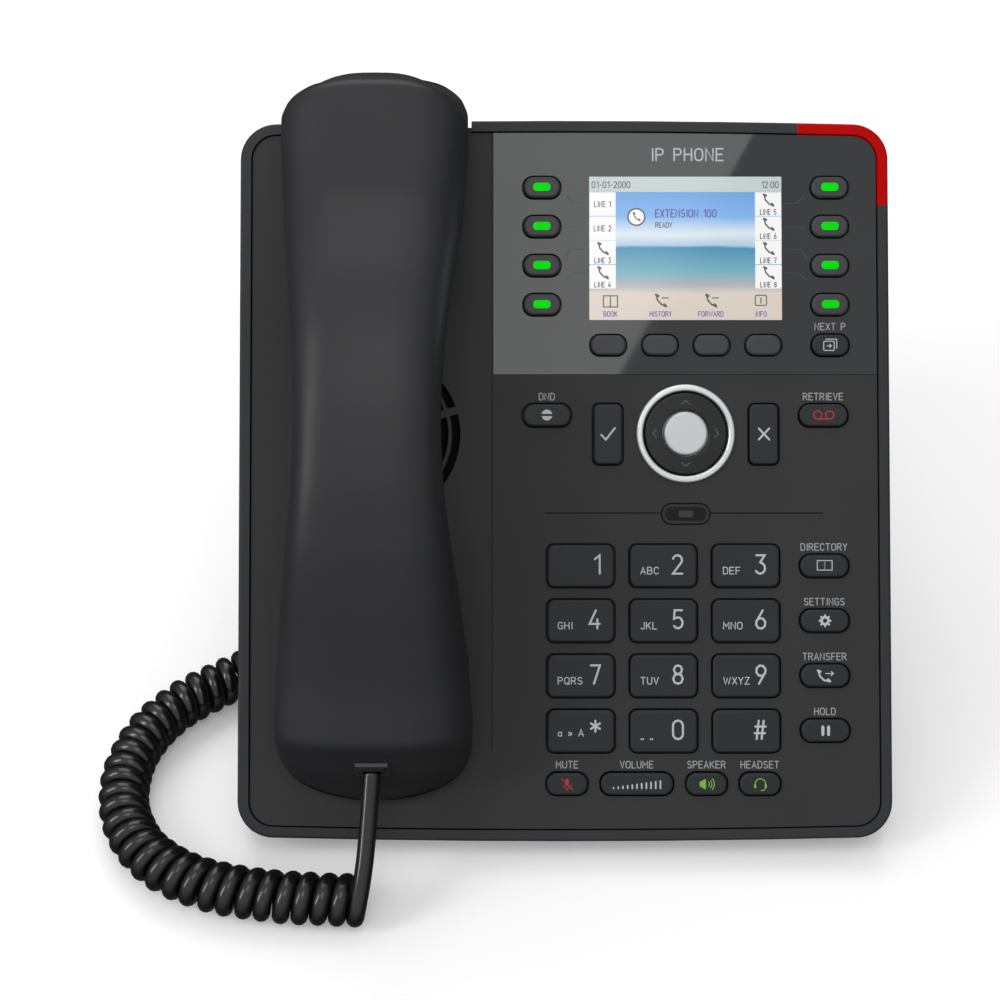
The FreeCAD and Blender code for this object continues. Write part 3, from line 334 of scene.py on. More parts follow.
# Each plastic's name, colour, roughness, grain per metre, grain depth in metres, coat and specular.
PLASTICS = {
    "housing": ("housing_black", (0.030, 0.031, 0.033), 0.52, 2600, 0.00002, 0.0, 0.22),
    "panel": ("front_panel_black", (0.032, 0.0325, 0.034), 0.58, 2600, 0.00002, 0.0, 0.20),
    "cover": ("display_cover_gloss", (0.019, 0.0215, 0.023), 0.035, 900, 0.0, 0.0, 0.5),
    "handset": ("handset_black", (0.023, 0.0235, 0.0255), 0.42, 3000, 0.000012, 0.0, 0.30),
    "key": ("key_black", (0.019, 0.020, 0.022), 0.42, 3200, 0.000008, 0.0, 0.26),
    "line_key": ("line_key_grey", (0.042, 0.043, 0.046), 0.38, 3200, 0.000008, 0.0, 0.3),
    "nav": ("nav_disc_black", (0.009, 0.0095, 0.010), 0.16, 3200, 0.0, 0.0, 0.35),
    "cord": ("cord_jacket", (0.006, 0.006, 0.0065), 0.24, 1500, 0.000004, 0.25, 0.5),
    "plug": ("plug_black", (0.008, 0.008, 0.009), 0.45, 1500, 0.0, 0.0, 0.15),
    "plug_rim": ("plug_rim_grey", (0.045, 0.045, 0.05), 0.4, 1500, 0.0, 0.0, 0.5),
    "socket": ("socket_black", (0.02, 0.02, 0.02), 0.5, 2600, 0.00002, 0.0, 0.5),
    "rubber": ("foot_rubber", (0.02, 0.02, 0.02), 0.8, 1400, 0.00004, 0.0, 0.5),
    "inner_plastic": ("inner_natural", (0.6, 0.6, 0.57), 0.5, 2600, 0.00002, 0.0, 0.5),
    "board": ("circuit_board", (0.02, 0.16, 0.06), 0.35, 1200, 0.00001, 0.4, 0.5),
    # Near-black painted shade: it stands for the shade in the gap round the sensor's pill, along the
    # divider line and on the loudspeaker.
    "recess": ("shadow_black", (0.003, 0.003, 0.0035), 0.7, 2600, 0.00002, 0.0, 0.1),
}


def make_materials():
    plastics = {key: moulded_plastic(*recipe) for key, recipe in PLASTICS.items()}
    return {
        **plastics,
        "trim": spun_metal("bright_trim", (0.66, 0.67, 0.68), 0.26, at(*NAV), 24000.0, 0.70),
        "button": spun_metal("bright_button", (0.56, 0.575, 0.59), 0.36, at(*NAV), 30000.0, 0.45),
        "screw": spun_metal("screw_steel", (0.32, 0.32, 0.33), 0.35, at(0, 0, -24), 9000.0),
        "inner_metal": spun_metal("inner_metal", (0.5, 0.5, 0.52), 0.4, at(0, 0, -10), 6000.0),
        "red": lit_lens("red_lens", (0.38, 0.0008, 0.0008), (0.30, 0.0, 0.0), 0.30),
        "lamp": lit_lens("lamp_green", (0.0, 0.10, 0.002), (0.0, 0.70, 0.002), 1.0),
        "print": ink("print_white", (0.52, 0.53, 0.55)),
        "label": ink("print_label", (0.36, 0.365, 0.375)),
        "faint": ink("print_faint", (0.085, 0.088, 0.092)),
        # The red and green inks glow a little: painted light, as the printed icons are no lamps.
        "print_red": ink("print_red", (0.42, 0.010, 0.014), 0.12),
        "print_green": ink("print_green", (0.17, 0.42, 0.035), 0.15),
    }


# ------------------------------------------------------------------ mesh building

def band(here, beyond, sides):
    """The faces between two rings of vertices that begin at these numbers."""
    return [(here + side, here + (side + 1) % sides, beyond + (side + 1) % sides, beyond + side)
            for side in range(sides)]


def make_piece(name, vertices, faces, material, smooth=True):
    mesh = bpy.data.meshes.new(name)
    mesh.from_pydata([tuple(vertex) for vertex in vertices], [], faces)
    mesh.update()
    mesh.polygons.foreach_set("use_smooth", [smooth] * len(mesh.polygons))
    mesh.materials.append(material)
    piece = bpy.data.objects.new(name, mesh)
    bpy.context.scene.collection.objects.link(piece)
    return piece


# A stroke's section has this many sides; each end reaches on by the first share of the width and
# narrows to the second; a corner no sharper than the last number's cosine keeps its full width.
STROKE_SIDES = 8
CAP_REACH = 0.42
CAP_NARROWS = 0.45
CORNER_COSINE = 0.5


@dataclass
class Drawing:
    """Flat artwork in millimetres, gathered into one mesh that lies on a surface at one height."""

    name: str
    body: str
    slot: str
    material: object
    height: float
    relief: float = 0.03
    vertices: list = field(default_factory=list)
    faces: list = field(default_factory=list)

    def stroke(self, points, width, closed=False):
        """A soft-edged line of even width along points, its section half sunk in the surface."""
        points = [Vector(point) for point in points]
        count = len(points)
        first = len(self.vertices)
        rings = []
        for index, point in enumerate(points):
            before = points[index - 1] if index or closed else point
            after = points[(index + 1) % count] if index < count - 1 or closed else point
            arriving = (point - before if point != before else after - point).normalized()
            leaving = (after - point).normalized() if after != point else arriving
            along = arriving + leaving
            along = along.normalized() if along.length > 1e-6 else leaving
            across = Vector((-along.y, along.x))
            turned = Vector((-leaving.y, leaving.x))
            spread = 1 / max(CORNER_COSINE, abs(across.dot(turned)))
            rings.append((point, across * spread, along))
        if not closed:
            start, across, along = rings[0]
            rings.insert(0, (start - along * width * CAP_REACH, across * CAP_NARROWS, along))
            end, across, along = rings[-1]
            rings.append((end + along * width * CAP_REACH, across * CAP_NARROWS, along))
        for point, across, _ in rings:
            for side in range(STROKE_SIDES):
                angle = 2 * math.pi * side / STROKE_SIDES
                spot = point + across * (width / 2 * math.cos(angle))
                self.vertices.append(at(spot.x, spot.y, self.height + self.relief * math.sin(angle)))
        total = len(rings)
        for ring in range(total if closed else total - 1):
            a = first + ring * STROKE_SIDES
            b = first + (ring + 1) % total * STROKE_SIDES
            for side in range(STROKE_SIDES):
                following = (side + 1) % STROKE_SIDES
                self.faces.append((a + side, b + side, b + following, a + following))
        if not closed:
            self.faces.append(tuple(range(first, first + STROKE_SIDES)))
            last = first + (total - 1) * STROKE_SIDES
            self.faces.append(tuple(reversed(range(last, last + STROKE_SIDES))))

    def fill(self, outline):
        """A flat plate with the given outline, counter-clockwise."""
        first = len(self.vertices)
        count = len(outline)
        for level in (-self.relief, self.relief):
            for u, v in outline:
                self.vertices.append(at(u, v, self.height + level))
        self.faces.append(tuple(first + count + index for index in range(count)))
        self.faces.append(tuple(first + index for index in reversed(range(count))))
        for index in range(count):
            following = (index + 1) % count
            self.faces.append((first + index, first + following, first + count + following,
                               first + count + index))

    def finish(self):
        piece = make_piece(self.name, self.vertices, self.faces, self.material, smooth=False)
        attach(piece, self.body)


def plate(name, body, slot, material, height, relief, outline):
    """A drawing that is one filled outline."""
    drawing = Drawing(name, body, slot, material, height, relief)
    drawing.fill(outline)
    drawing.finish()


def arc(u, v, radius_u, radius_v, start, end, steps=10):
    """Points along an ellipse's arc, angles in degrees."""
    points = []
    for step in range(steps + 1):
        angle = math.radians(start + (end - start) * step / steps)
        points.append((u + radius_u * math.cos(angle), v + radius_v * math.sin(angle)))
    return points


def circle(u, v, radius):
    """Points round a circle that a closed stroke joins up."""
    return arc(u, v, radius, radius, 0, 345, 20)


def rounded(u, v, width, height, corner, steps=4):
    """The outline of a rounded rectangle about a point, counter-clockwise."""
    points = []
    for side_u, side_v, start in ((1, -1, -90), (1, 1, 0), (-1, 1, 90), (-1, -1, 180)):
        points += arc(u + side_u * (width / 2 - corner), v + side_v * (height / 2 - corner),
                      corner, corner, start, start + 90, steps)
    return points


# ------------------------------------------------------------------ lettering

def bowl(u, v, ru, rv, start, end):
    return arc(u, v, ru, rv, start, end, 8)


def oval(u, radius_u, radius_v, start, end):
    """Half a bowl at the letter's top and half at its foot, joined down the left."""
    return [*bowl(u, 100 - radius_v, radius_u, radius_v, start, 180),
            *bowl(u, radius_v, radius_u, radius_v, 180, end)]


# Single-line letters in a box 60 wide and 100 high: each is a list of strokes.
GLYPHS = {
    "A": [[(0, 0), (30, 100), (60, 0)], [(10, 32), (50, 32)]],
    "B": [[(0, 0), (0, 100), (32, 100), *bowl(32, 76, 22, 24, 90, -90), (0, 52)],
          [(32, 52), *bowl(34, 26, 24, 26, 90, -90), (0, 0)]],
    "C": [oval(30, 28, 30, 20, 340)],
    "D": [[(0, 0), (0, 100), (26, 100), *bowl(26, 70, 30, 30, 90, 0),
           *bowl(26, 30, 30, 30, 0, -90), (0, 0)]],
    "E": [[(52, 100), (0, 100), (0, 0), (52, 0)], [(0, 52), (44, 52)]],
    "F": [[(50, 100), (0, 100), (0, 0)], [(0, 50), (42, 50)]],
    "G": [[*oval(30, 28, 30, 25, 360), (58, 48), (34, 48)]],
    "H": [[(0, 0), (0, 100)], [(56, 0), (56, 100)], [(0, 52), (56, 52)]],
    "I": [[(10, 0), (10, 100)]],
    "J": [[(44, 100), *bowl(22, 24, 22, 24, 0, -160)]],
    "K": [[(0, 0), (0, 100)], [(54, 100), (0, 40)], [(18, 58), (56, 0)]],
    "L": [[(0, 100), (0, 0), (48, 0)]],
    "M": [[(0, 0), (0, 100), (34, 40), (68, 100), (68, 0)]],
    "N": [[(0, 0), (0, 100), (56, 0), (56, 100)]],
    "O": [[*oval(30, 30, 30, 0, 360), (60, 70)]],
    "P": [[(0, 0), (0, 100), (30, 100), *bowl(30, 74, 25, 26, 90, -90), (0, 48)]],
    "Q": [[*oval(30, 30, 30, 0, 360), (60, 70)], [(36, 22), (60, -4)]],
    "R": [[(0, 0), (0, 100), (30, 100), *bowl(30, 75, 25, 25, 90, -90), (0, 50)],
          [(28, 50), (56, 0)]],
    "S": [[*bowl(28, 75, 25, 25, 30, 270), *bowl(28, 25, 27, 25, 90, -150)]],
    "T": [[(0, 100), (56, 100)], [(28, 100), (28, 0)]],
    "U": [[(0, 100), *bowl(28, 28, 28, 28, 180, 360), (56, 100)]],
    "V": [[(0, 100), (28, 0), (56, 100)]],
    "W": [[(0, 100), (20, 0), (42, 90), (64, 0), (84, 100)]],
    "X": [[(0, 0), (54, 100)], [(0, 100), (54, 0)]],
    "Y": [[(0, 100), (27, 48), (54, 100)], [(27, 48), (27, 0)]],
    "Z": [[(0, 100), (52, 100), (0, 0), (54, 0)]],
    "0": [[*oval(28, 28, 28, 0, 360), (56, 72)]],
    "1": [[(6, 78), (34, 100), (34, 0)]],
    "2": [[*bowl(28, 74, 26, 26, 165, -30), (2, 0), (56, 0)]],
    "3": [[(4, 100), (52, 100), (26, 60), *bowl(26, 30, 28, 30, 90, -150)]],
    "4": [[(36, 100), (0, 26), (58, 26)], [(44, 52), (44, 0)]],
    "5": [[(50, 100), (8, 100), (4, 54), *bowl(26, 32, 27, 30, 125, -145)]],
    "6": [[(40, 100), (8, 46), *bowl(28, 29, 27, 29, 150, 510)]],
    "7": [[(2, 100), (54, 100), (20, 0)]],
    "8": [[*bowl(28, 76, 23, 24, -90, 270)], [*bowl(28, 27, 27, 27, 90, 450)]],
    "9": [[(16, 0), (48, 54), *bowl(28, 71, 27, 29, -30, 330)]],
    "a": [[(42, 62), (42, 0)], [*bowl(21, 31, 21, 31, 60, 300)]],
    "»": [[(2, 10), (20, 35), (2, 60)], [(26, 10), (44, 35), (26, 60)]],
    "*": [[(30, 40), (30, 100)], [(4, 55), (56, 85)], [(4, 85), (56, 55)]],
    "#": [[(12, 0), (24, 100)], [(40, 0), (52, 100)], [(0, 32), (60, 32)],
          [(4, 68), (64, 68)]],
    "_": [[(0, 14), (0, 0), (30, 0), (30, 14)]],
    ":": [[(6, 20), (6, 22)], [(6, 60), (6, 62)]],
    "-": [[(4, 42), (36, 42)]],
}
LETTER_GAP = 27
SPACE_WIDTH = 34


def glyph_width(letter):
    if letter == " ":
        return SPACE_WIDTH
    return max(point[0] for stroke in GLYPHS[letter] for point in stroke)


def write(drawing, text, u, v, height, weight, align=0.5, narrow=1.0):
    """Letters of a given height with their foot at v; align 0 starts at u, 0.5 centres, 1 ends."""
    rise = height / 100
    scale = rise * narrow
    total = sum(glyph_width(letter) + LETTER_GAP for letter in text) - LETTER_GAP
    left = u - align * total * scale
    for letter in text:
        for stroke in GLYPHS.get(letter, []):
            drawing.stroke([(left + x * scale, v + y * rise) for x, y in stroke], weight)
        left += (glyph_width(letter) + LETTER_GAP) * scale


# ------------------------------------------------------------------ the handset

# Sections along v: (v, width, lowest w, highest w).
HANDSET_U = -53.3
HANDSET_SECTIONS = [
    (114.3, 14.0, -3.5, 3.5), (113.8, 25.0, -5.0, 9.0), (112.0, 35.6, -6.2, 16.0),
    (110.0, 41.2, -6.6, 21.2), (107.3, 46.6, -6.8, 26.5), (105.8, 48.8, -7.0, 27.7),
    (101.0, 52.0, -7.2, 28.6),
    (91.0, 51.8, -7.4, 30.4), (83.0, 50.8, -7.4, 32.5), (76.0, 49.8, -6.8, 34.6),
    (69.0, 48.4, -2.4, 37.4), (62.0, 46.8, 3.6, 40.4), (48.0, 43.2, 13.0, 46.0),
    (32.0, 40.2, 22.0, 49.8), (15.0, 38.8, 27.0, 51.2), (-2.0, 40.0, 25.6, 50.6),
    (-18.0, 43.6, 18.6, 48.0), (-33.0, 47.8, 7.0, 43.0), (-47.0, 51.2, -4.4, 37.2),
    (-60.0, 53.6, -7.5, 32.0), (-69.0, 54.6, -7.4, 29.4), (-72.6, 54.4, -7.0, 28.2),
    (-74.2, 54.2, -6.8, 26.9), (-77.0, 53.6, -6.4, 22.6), (-82.2, 48.8, -4.0, 15.3),
    (-86.2, 39.6, -1.4, 9.5), (-89.0, 26.0, 0.6, 6.0), (-90.3, 12.0, 2.0, 4.2),
]
# How a section is drawn: where its widest line is, and how full it is above and below that line.
SECTION_MIDDLE = 0.45
SECTION_UPPER_POWER = 0.62
SECTION_LOWER_POWER = 0.8
SECTION_STEPS = 36
# Towards each end the back's sections bow, so that the edge of the end face is an arc: where the
# bow starts, where it is whole, and how far it carries the section's shoulders towards the middle.
EAR_BOW = (88.0, 104.0, -5.5)
MOUTH_BOW = (-60.0, -71.0, 3.0)
SHELL_ROWS = 170
# How strongly the rows gather towards both ends.
ROW_EASE = 0.10
SEAM = 0.18
# The lips inside the seam: how far in they turn, and how far the face's lip stands into the back.
LIP_SHRINK = 0.94
TONGUE = 1.2


def smooth_value(table, column, v):
    """A monotone cubic through one column of the section table, at height v."""
    spots = [row[0] for row in table]
    values = [row[column] for row in table]
    rates = [(values[near + 1] - values[near]) / (spots[near + 1] - spots[near])
             for near in range(len(spots) - 1)]
    index = 0
    while index < len(spots) - 2 and v < spots[index + 1]:
        index += 1
    slopes = []
    for spot in (index, index + 1):
        before, after = rates[max(0, spot - 1)], rates[min(spot, len(rates) - 1)]
        if before == after:
            slopes.append(after)
        else:
            slopes.append(0.0 if before * after <= 0 else 2 * before * after / (before + after))
    span = spots[index + 1] - spots[index]
    t = (v - spots[index]) / span
    h1 = 2 * t ** 3 - 3 * t ** 2 + 1
    h2 = t ** 3 - 2 * t ** 2 + t
    h3 = -2 * t ** 3 + 3 * t ** 2
    h4 = t ** 3 - t ** 2
    return values[index] * h1 + span * slopes[0] * h2 + values[index + 1] * h3 + span * slopes[1] * h4


def bow_at(v):
    """How far the section at v carries its shoulders along the handset."""
    total = 0.0
    for start, whole, reach in (EAR_BOW, MOUTH_BOW):
        t = min(1.0, max(0.0, (v - start) / (whole - start)))
        total += reach * t * t * (3 - 2 * t)
    return total


def handset_ring(v):
    """Points round one cross-section of the handset, from the right-hand parting over the back."""
    half = smooth_value(HANDSET_SECTIONS, 1, v) / 2
    low = smooth_value(HANDSET_SECTIONS, 2, v)
    high = smooth_value(HANDSET_SECTIONS, 3, v)
    middle = low + SECTION_MIDDLE * (high - low)
    bow = bow_at(v) * min(1.0, half / 20.0) ** 2
    points = []
    for step in range(2 * SECTION_STEPS):
        angle = math.pi * step / SECTION_STEPS
        across = math.cos(angle)
        along = math.sin(angle)
        power = SECTION_UPPER_POWER if along >= 0 else SECTION_LOWER_POWER
        u = half * math.copysign(abs(across) ** power, across)
        reach = (high - middle) if along >= 0 else (middle - low)
        w = middle + reach * math.copysign(abs(along) ** power, along)
        shift = bow * across ** 2 * math.sqrt(max(0.0, along))
        points.append((HANDSET_U + u, v + shift, w))
    return points


def make_shell(name, rings, columns, towards, material):
    """One of the handset's shells: its side of every ring, with a turned-in lip along the seam."""
    vertices = []
    for ring in rings:
        spots = [ring[column % len(ring)] for column in columns]
        for end in (0, -1):
            u, v, w = spots[end]
            spots[end] = (u, v, w + SEAM * towards)
        tongue = TONGUE if towards < 0 else 0.0
        lips = [(HANDSET_U + (u - HANDSET_U) * LIP_SHRINK, v, w + tongue)
                for u, v, w in (spots[0], spots[-1])]
        spots = [lips[0], *spots, lips[1]]
        vertices += [at(*spot) for spot in spots]
    width = len(columns) + 2
    faces = []
    for row in range(len(rings) - 1):
        for column in range(width - 1):
            a = row * width + column
            faces.append((a, a + 1, a + width + 1, a + width))
    faces.append(tuple(reversed(range(width))))
    last = (len(rings) - 1) * width
    faces.append(tuple(range(last, last + width)))
    piece = make_piece(name, vertices, faces, material)
    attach(piece, "handset")
    return piece


def make_handset(materials):
    """The handset's back and face shells, meeting at a fine seam, in place of the plain solids."""
    first = HANDSET_SECTIONS[0][0]
    last = HANDSET_SECTIONS[-1][0]
    rings = []
    for row in range(SHELL_ROWS + 1):
        t = row / SHELL_ROWS
        eased = t - ROW_EASE * math.sin(2 * math.pi * t)
        rings.append(handset_ring(first + (last - first) * eased))
    plastic = materials["handset"]
    back = make_shell("handset_back_shell", rings, range(SECTION_STEPS + 1), 1, plastic)
    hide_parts("handset_back")
    face_columns = range(SECTION_STEPS, 2 * SECTION_STEPS + 1)
    face = make_shell("handset_face_shell", rings, face_columns, -1, plastic)
    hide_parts("handset_face")


# The rings round the plug's socket, as (distance out from the plug, depth from its end), and how
# far the rim leans with height.
RIM_RINGS = ((0.1, 2.6), (0.1, -0.25), (0.55, -0.25), (0.55, 2.6))
RIM_LEAN = 0.55


def make_plug_rim(materials):
    """The thin moulded rim of the plug's socket on the handset's end."""
    (left, end_v, low), (right, _, high) = corners_of("handset_plug")
    vertices = []
    for grow, depth in RIM_RINGS:
        for u, w in ((left - grow, low - grow), (right + grow, low - grow),
                     (right + grow, high + grow), (left - grow, high + grow)):
            lean = RIM_LEAN * (w - (low + high) / 2)
            vertices.append(at(u, end_v + depth + lean, w))
    faces = [face for ring in range(4) for face in band(4 * ring, 4 * ((ring + 1) % 4), 4)]
    rim = make_piece("plug_socket_rim", vertices, faces, materials["plug_rim"], smooth=False)
    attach(rim, "handset")


# ------------------------------------------------------------------ the curly cord

CORD_DIAMETER = 4.9
COIL_RADIUS = 5.0
COIL_PITCH = 5.1
COIL_START = math.radians(136)
TURN_POINTS = 24
LINE_STEP = 0.0009
TUBE_SIDES = 14
# How many diameters each lead runs straight where it meets the coil.
RUN_IN = 1.3
# The route in the row frame, in metres: the lead, the coil's axis on the desk, the lead to the back.
HANDSET_LEAD = [(-0.0533, -0.07693, 0.03634), (-0.0544, -0.0895, 0.0239), (-0.0565, -0.1016, 0.0114)]
COIL_AXIS = [(-0.0568, -0.0984), (-0.0715, -0.0980), (-0.0870, -0.0964), (-0.1025, -0.0928),
             (-0.1166, -0.0848), (-0.1256, -0.0716), (-0.1282, -0.0560), (-0.1252, -0.0410),
             (-0.1172, -0.0284), (-0.1052, -0.0190), (-0.0928, -0.0114), (-0.0816, -0.0040)]
BASE_LEAD = [(-0.0816, -0.0040, 0.0075), (-0.0754, 0.0024, 0.0066), (-0.0706, 0.0104, 0.0074),
             (-0.0682, 0.0186, 0.0130), (-0.0672, 0.0240, 0.0216), (-0.0670, 0.0252, 0.0312),
             (-0.0673, 0.0224, 0.0386), (-0.0677, 0.0169, 0.0445), (-0.0680, 0.00884, 0.05148)]


def smooth_route(name, points):
    """Points along the NURBS curve that has the route's points as its control points."""
    data = bpy.data.curves.new(name, "CURVE")
    data.dimensions = "3D"
    data.resolution_u = 24
    spline = data.splines.new("NURBS")
    spline.points.add(len(points) - 1)
    for control, point in zip(spline.points, points):
        control.co = (*point, 1)
    spline.order_u = 3
    spline.use_endpoint_u = True
    holder = bpy.data.objects.new(name, data)
    bpy.context.scene.collection.objects.link(holder)
    bpy.context.view_layer.update()
    mesh = bpy.data.meshes.new_from_object(holder)
    route = [vertex.co.copy() for vertex in mesh.vertices]
    bpy.data.objects.remove(holder)
    bpy.data.meshes.remove(mesh)
    return route


def walk(route, step):
    """Points at even steps along a polyline, with the heading at each."""
    spots = []
    travelled = 0.0
    target = 0.0
    for before, after in zip(route, route[1:]):
        length = (after - before).length
        while length and target <= travelled + length:
            spot = before.lerp(after, (target - travelled) / length)
            spots.append((spot, (after - before).normalized(), target))
            target += step
        travelled += length
    return spots


def coil_turns():
    """The helix about the coil's axis, every turn a little different from the next."""
    radius = COIL_RADIUS * MM
    pitch = COIL_PITCH * MM
    height = radius + CORD_DIAMETER * MM / 2
    axis = smooth_route("coil_axis", [(x, y, height) for x, y in COIL_AXIS])
    turns = []
    for spot, heading, travelled in walk(axis, pitch / TURN_POINTS):
        side = heading.cross(Vector((0, 0, 1))).normalized()
        turn = travelled / pitch
        angle = COIL_START + 2 * math.pi * turn
        uneven = 1 - 0.010 * (1 - math.cos(1.7 * turn)) - 0.006 * (1 - math.cos(4.3 * turn))
        swing = 0.00012 * math.sin(2.9 * turn)
        turns.append(spot + side * (radius * uneven * math.cos(angle)) + heading * swing
                     + Vector((0, 0, radius * uneven * math.sin(angle))))
    return turns


def cord_line():
    """The cord's middle line: down from the handset, round the coil's turns, up to the back."""
    turns = coil_turns()
    # The last turn ends where it points most nearly at the lead to the back.
    ends = range(len(turns) - TURN_POINTS, len(turns))
    goal = Vector(BASE_LEAD[1])
    last = max(ends, key=lambda end: (turns[end] - turns[end - 1]).normalized()
               .dot((goal - turns[end]).normalized()))
    turns = turns[:last + 1]
    arriving = (turns[1] - turns[0]).normalized()
    leaving = (turns[-1] - turns[-2]).normalized()
    run_in = RUN_IN * CORD_DIAMETER * MM
    down = smooth_route("lead_down", [*HANDSET_LEAD[:-1], turns[0] - arriving * run_in, turns[0]])
    up = smooth_route("lead_up", [turns[-1], turns[-1] + leaving * run_in, *BASE_LEAD[1:]])
    line = [*down[:-1], *turns, *up[1:]]
    return [spot for spot, _, _ in walk(line, LINE_STEP)]


def round_tube(line, radius):
    """The vertices and faces of a round tube along a line, without twist."""
    sides = TUBE_SIDES
    vertices = []
    normal = (line[1] - line[0]).orthogonal().normalized()
    for index, spot in enumerate(line):
        before = line[max(0, index - 1)]
        after = line[min(len(line) - 1, index + 1)]
        heading = (after - before).normalized()
        normal = (normal - heading * normal.dot(heading)).normalized()
        across = heading.cross(normal)
        for side in range(sides):
            angle = 2 * math.pi * side / sides
            vertices.append(spot + radius * (math.cos(angle) * normal + math.sin(angle) * across))
    faces = [face for ring in range(len(line) - 1)
             for face in band(ring * sides, (ring + 1) * sides, sides)]
    faces.append(tuple(reversed(range(sides))))
    end = (len(line) - 1) * sides
    faces.append(tuple(range(end, end + sides)))
    return vertices, faces


def make_cord(materials):
    """The whole cord as one tube: the lead, the coil's turns and the lead to the back."""
    line = cord_line()
    vertices, faces = round_tube(line, CORD_DIAMETER * MM / 2)
    cord = make_piece("curly_cord", vertices, faces, materials["cord"])
    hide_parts("cord_leads", "cord_coil")
    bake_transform(cord)


# ------------------------------------------------------------------ legends

DIAL_LEGENDS = {
    "key_1": ("1", ""), "key_2": ("2", "ABC"), "key_3": ("3", "DEF"), "key_4": ("4", "GHI"),
    "key_5": ("5", "JKL"), "key_6": ("6", "MNO"), "key_7": ("7", "PQRS"), "key_8": ("8", "TUV"),
    "key_9": ("9", "WXYZ"), "key_star": ("*", "a » A"), "key_0": ("0", "_ _"), "key_hash": ("#", ""),
}
KEY_LABELS = {
    "dnd_key": "DND", "message_key": "RETRIEVE", "directory_key": "DIRECTORY",
    "settings_key": "SETTINGS", "transfer_key": "TRANSFER", "hold_key": "HOLD", "mute_key": "MUTE",
    "volume_rocker": "VOLUME", "speaker_key": "SPEAKER", "headset_key": "HEADSET",
    "page_key": "NEXT P",
}
INK_LIFT = 0.02
DIVIDER_V = -9.8
# The fine lines from the line keys to the screen's tabs: (distance from the screen's edge, v).
LINK_LINES = [
    [(6.6, 81.1), (4.6, 78.8), (0.6, 78.6)], [(6.9, 71.8), (0.9, 71.8)],
    [(7.4, 62.4), (5.5, 65.3), (0.9, 65.6)], [(6.9, 56.7), (4.9, 58.6), (0.9, 58.8)],
]


def key_drawing(node, tone, materials, name):
    """Artwork in one of the printing inks on a key's top."""
    slot = "print_white" if tone == "print" else tone
    return Drawing(f"{name}_{node}", node, slot, materials[tone], top_of(node) + INK_LIFT)


# On a dial key: where the digit ends and the letters begin, from the key's middle.
DIGIT_RIGHT = 5.4
LETTERS_LEFT = -6.4


def write_dial(materials):
    for node, (digit, letters) in DIAL_LEGENDS.items():
        drawing = key_drawing(node, "print", materials, "legend")
        u, v = centre_of(node)
        write(drawing, digit, u + DIGIT_RIGHT, v - 2.2, 5.2, 0.58, align=1.0, narrow=0.96)
        letters_v = v - (1.4 if node == "key_star" else 2.3)
        write(drawing, letters, u + LETTERS_LEFT, letters_v, 1.9, 0.27, align=0.0, narrow=1.16)
        drawing.finish()


def write_labels(materials):
    labels, title, faint, divider = (
        Drawing(f"panel_{name}", "base", "print_white", materials[tone], lift)
        for name, tone, lift in (("labels", "label", INK_LIFT), ("title", "print", INK_LIFT),
                                 ("lines", "faint", 0.0), ("divider", "recess", 0.0)))
    for node, text in KEY_LABELS.items():
        u, v = centre_of(node)
        write(labels, text, u, v + 4.4, 1.9, 0.27, narrow=1.02)
    write(title, "IP PHONE", 35.2, 91.0, 3.4, 0.46, narrow=1.06)
    for side in (-1, 1):
        edge = SCREEN_U + side * SCREEN_W / 2
        for route in LINK_LINES:
            faint.stroke([(edge + side * reach, v) for reach, v in route], 0.12)
    # The divider line is drawn in the near-black of painted shade.
    for start, end in ((-5.3, 27.2), (41.6, 73.3)):
        divider.stroke([(start, DIVIDER_V), (end, DIVIDER_V)], 0.32)
    for drawing in (labels, title, faint, divider):
        drawing.finish()


def both(points):
    """The same points on the right and mirrored on the left."""
    return [[(side * x, y) for x, y in points] for side in (-1, 1)]


def tooth(angle):
    """A gear's tooth at an angle in degrees."""
    heading = math.radians(angle)
    return [(reach * math.cos(heading), reach * math.sin(heading)) for reach in (1.1, 1.62)]


FINE = 0.26
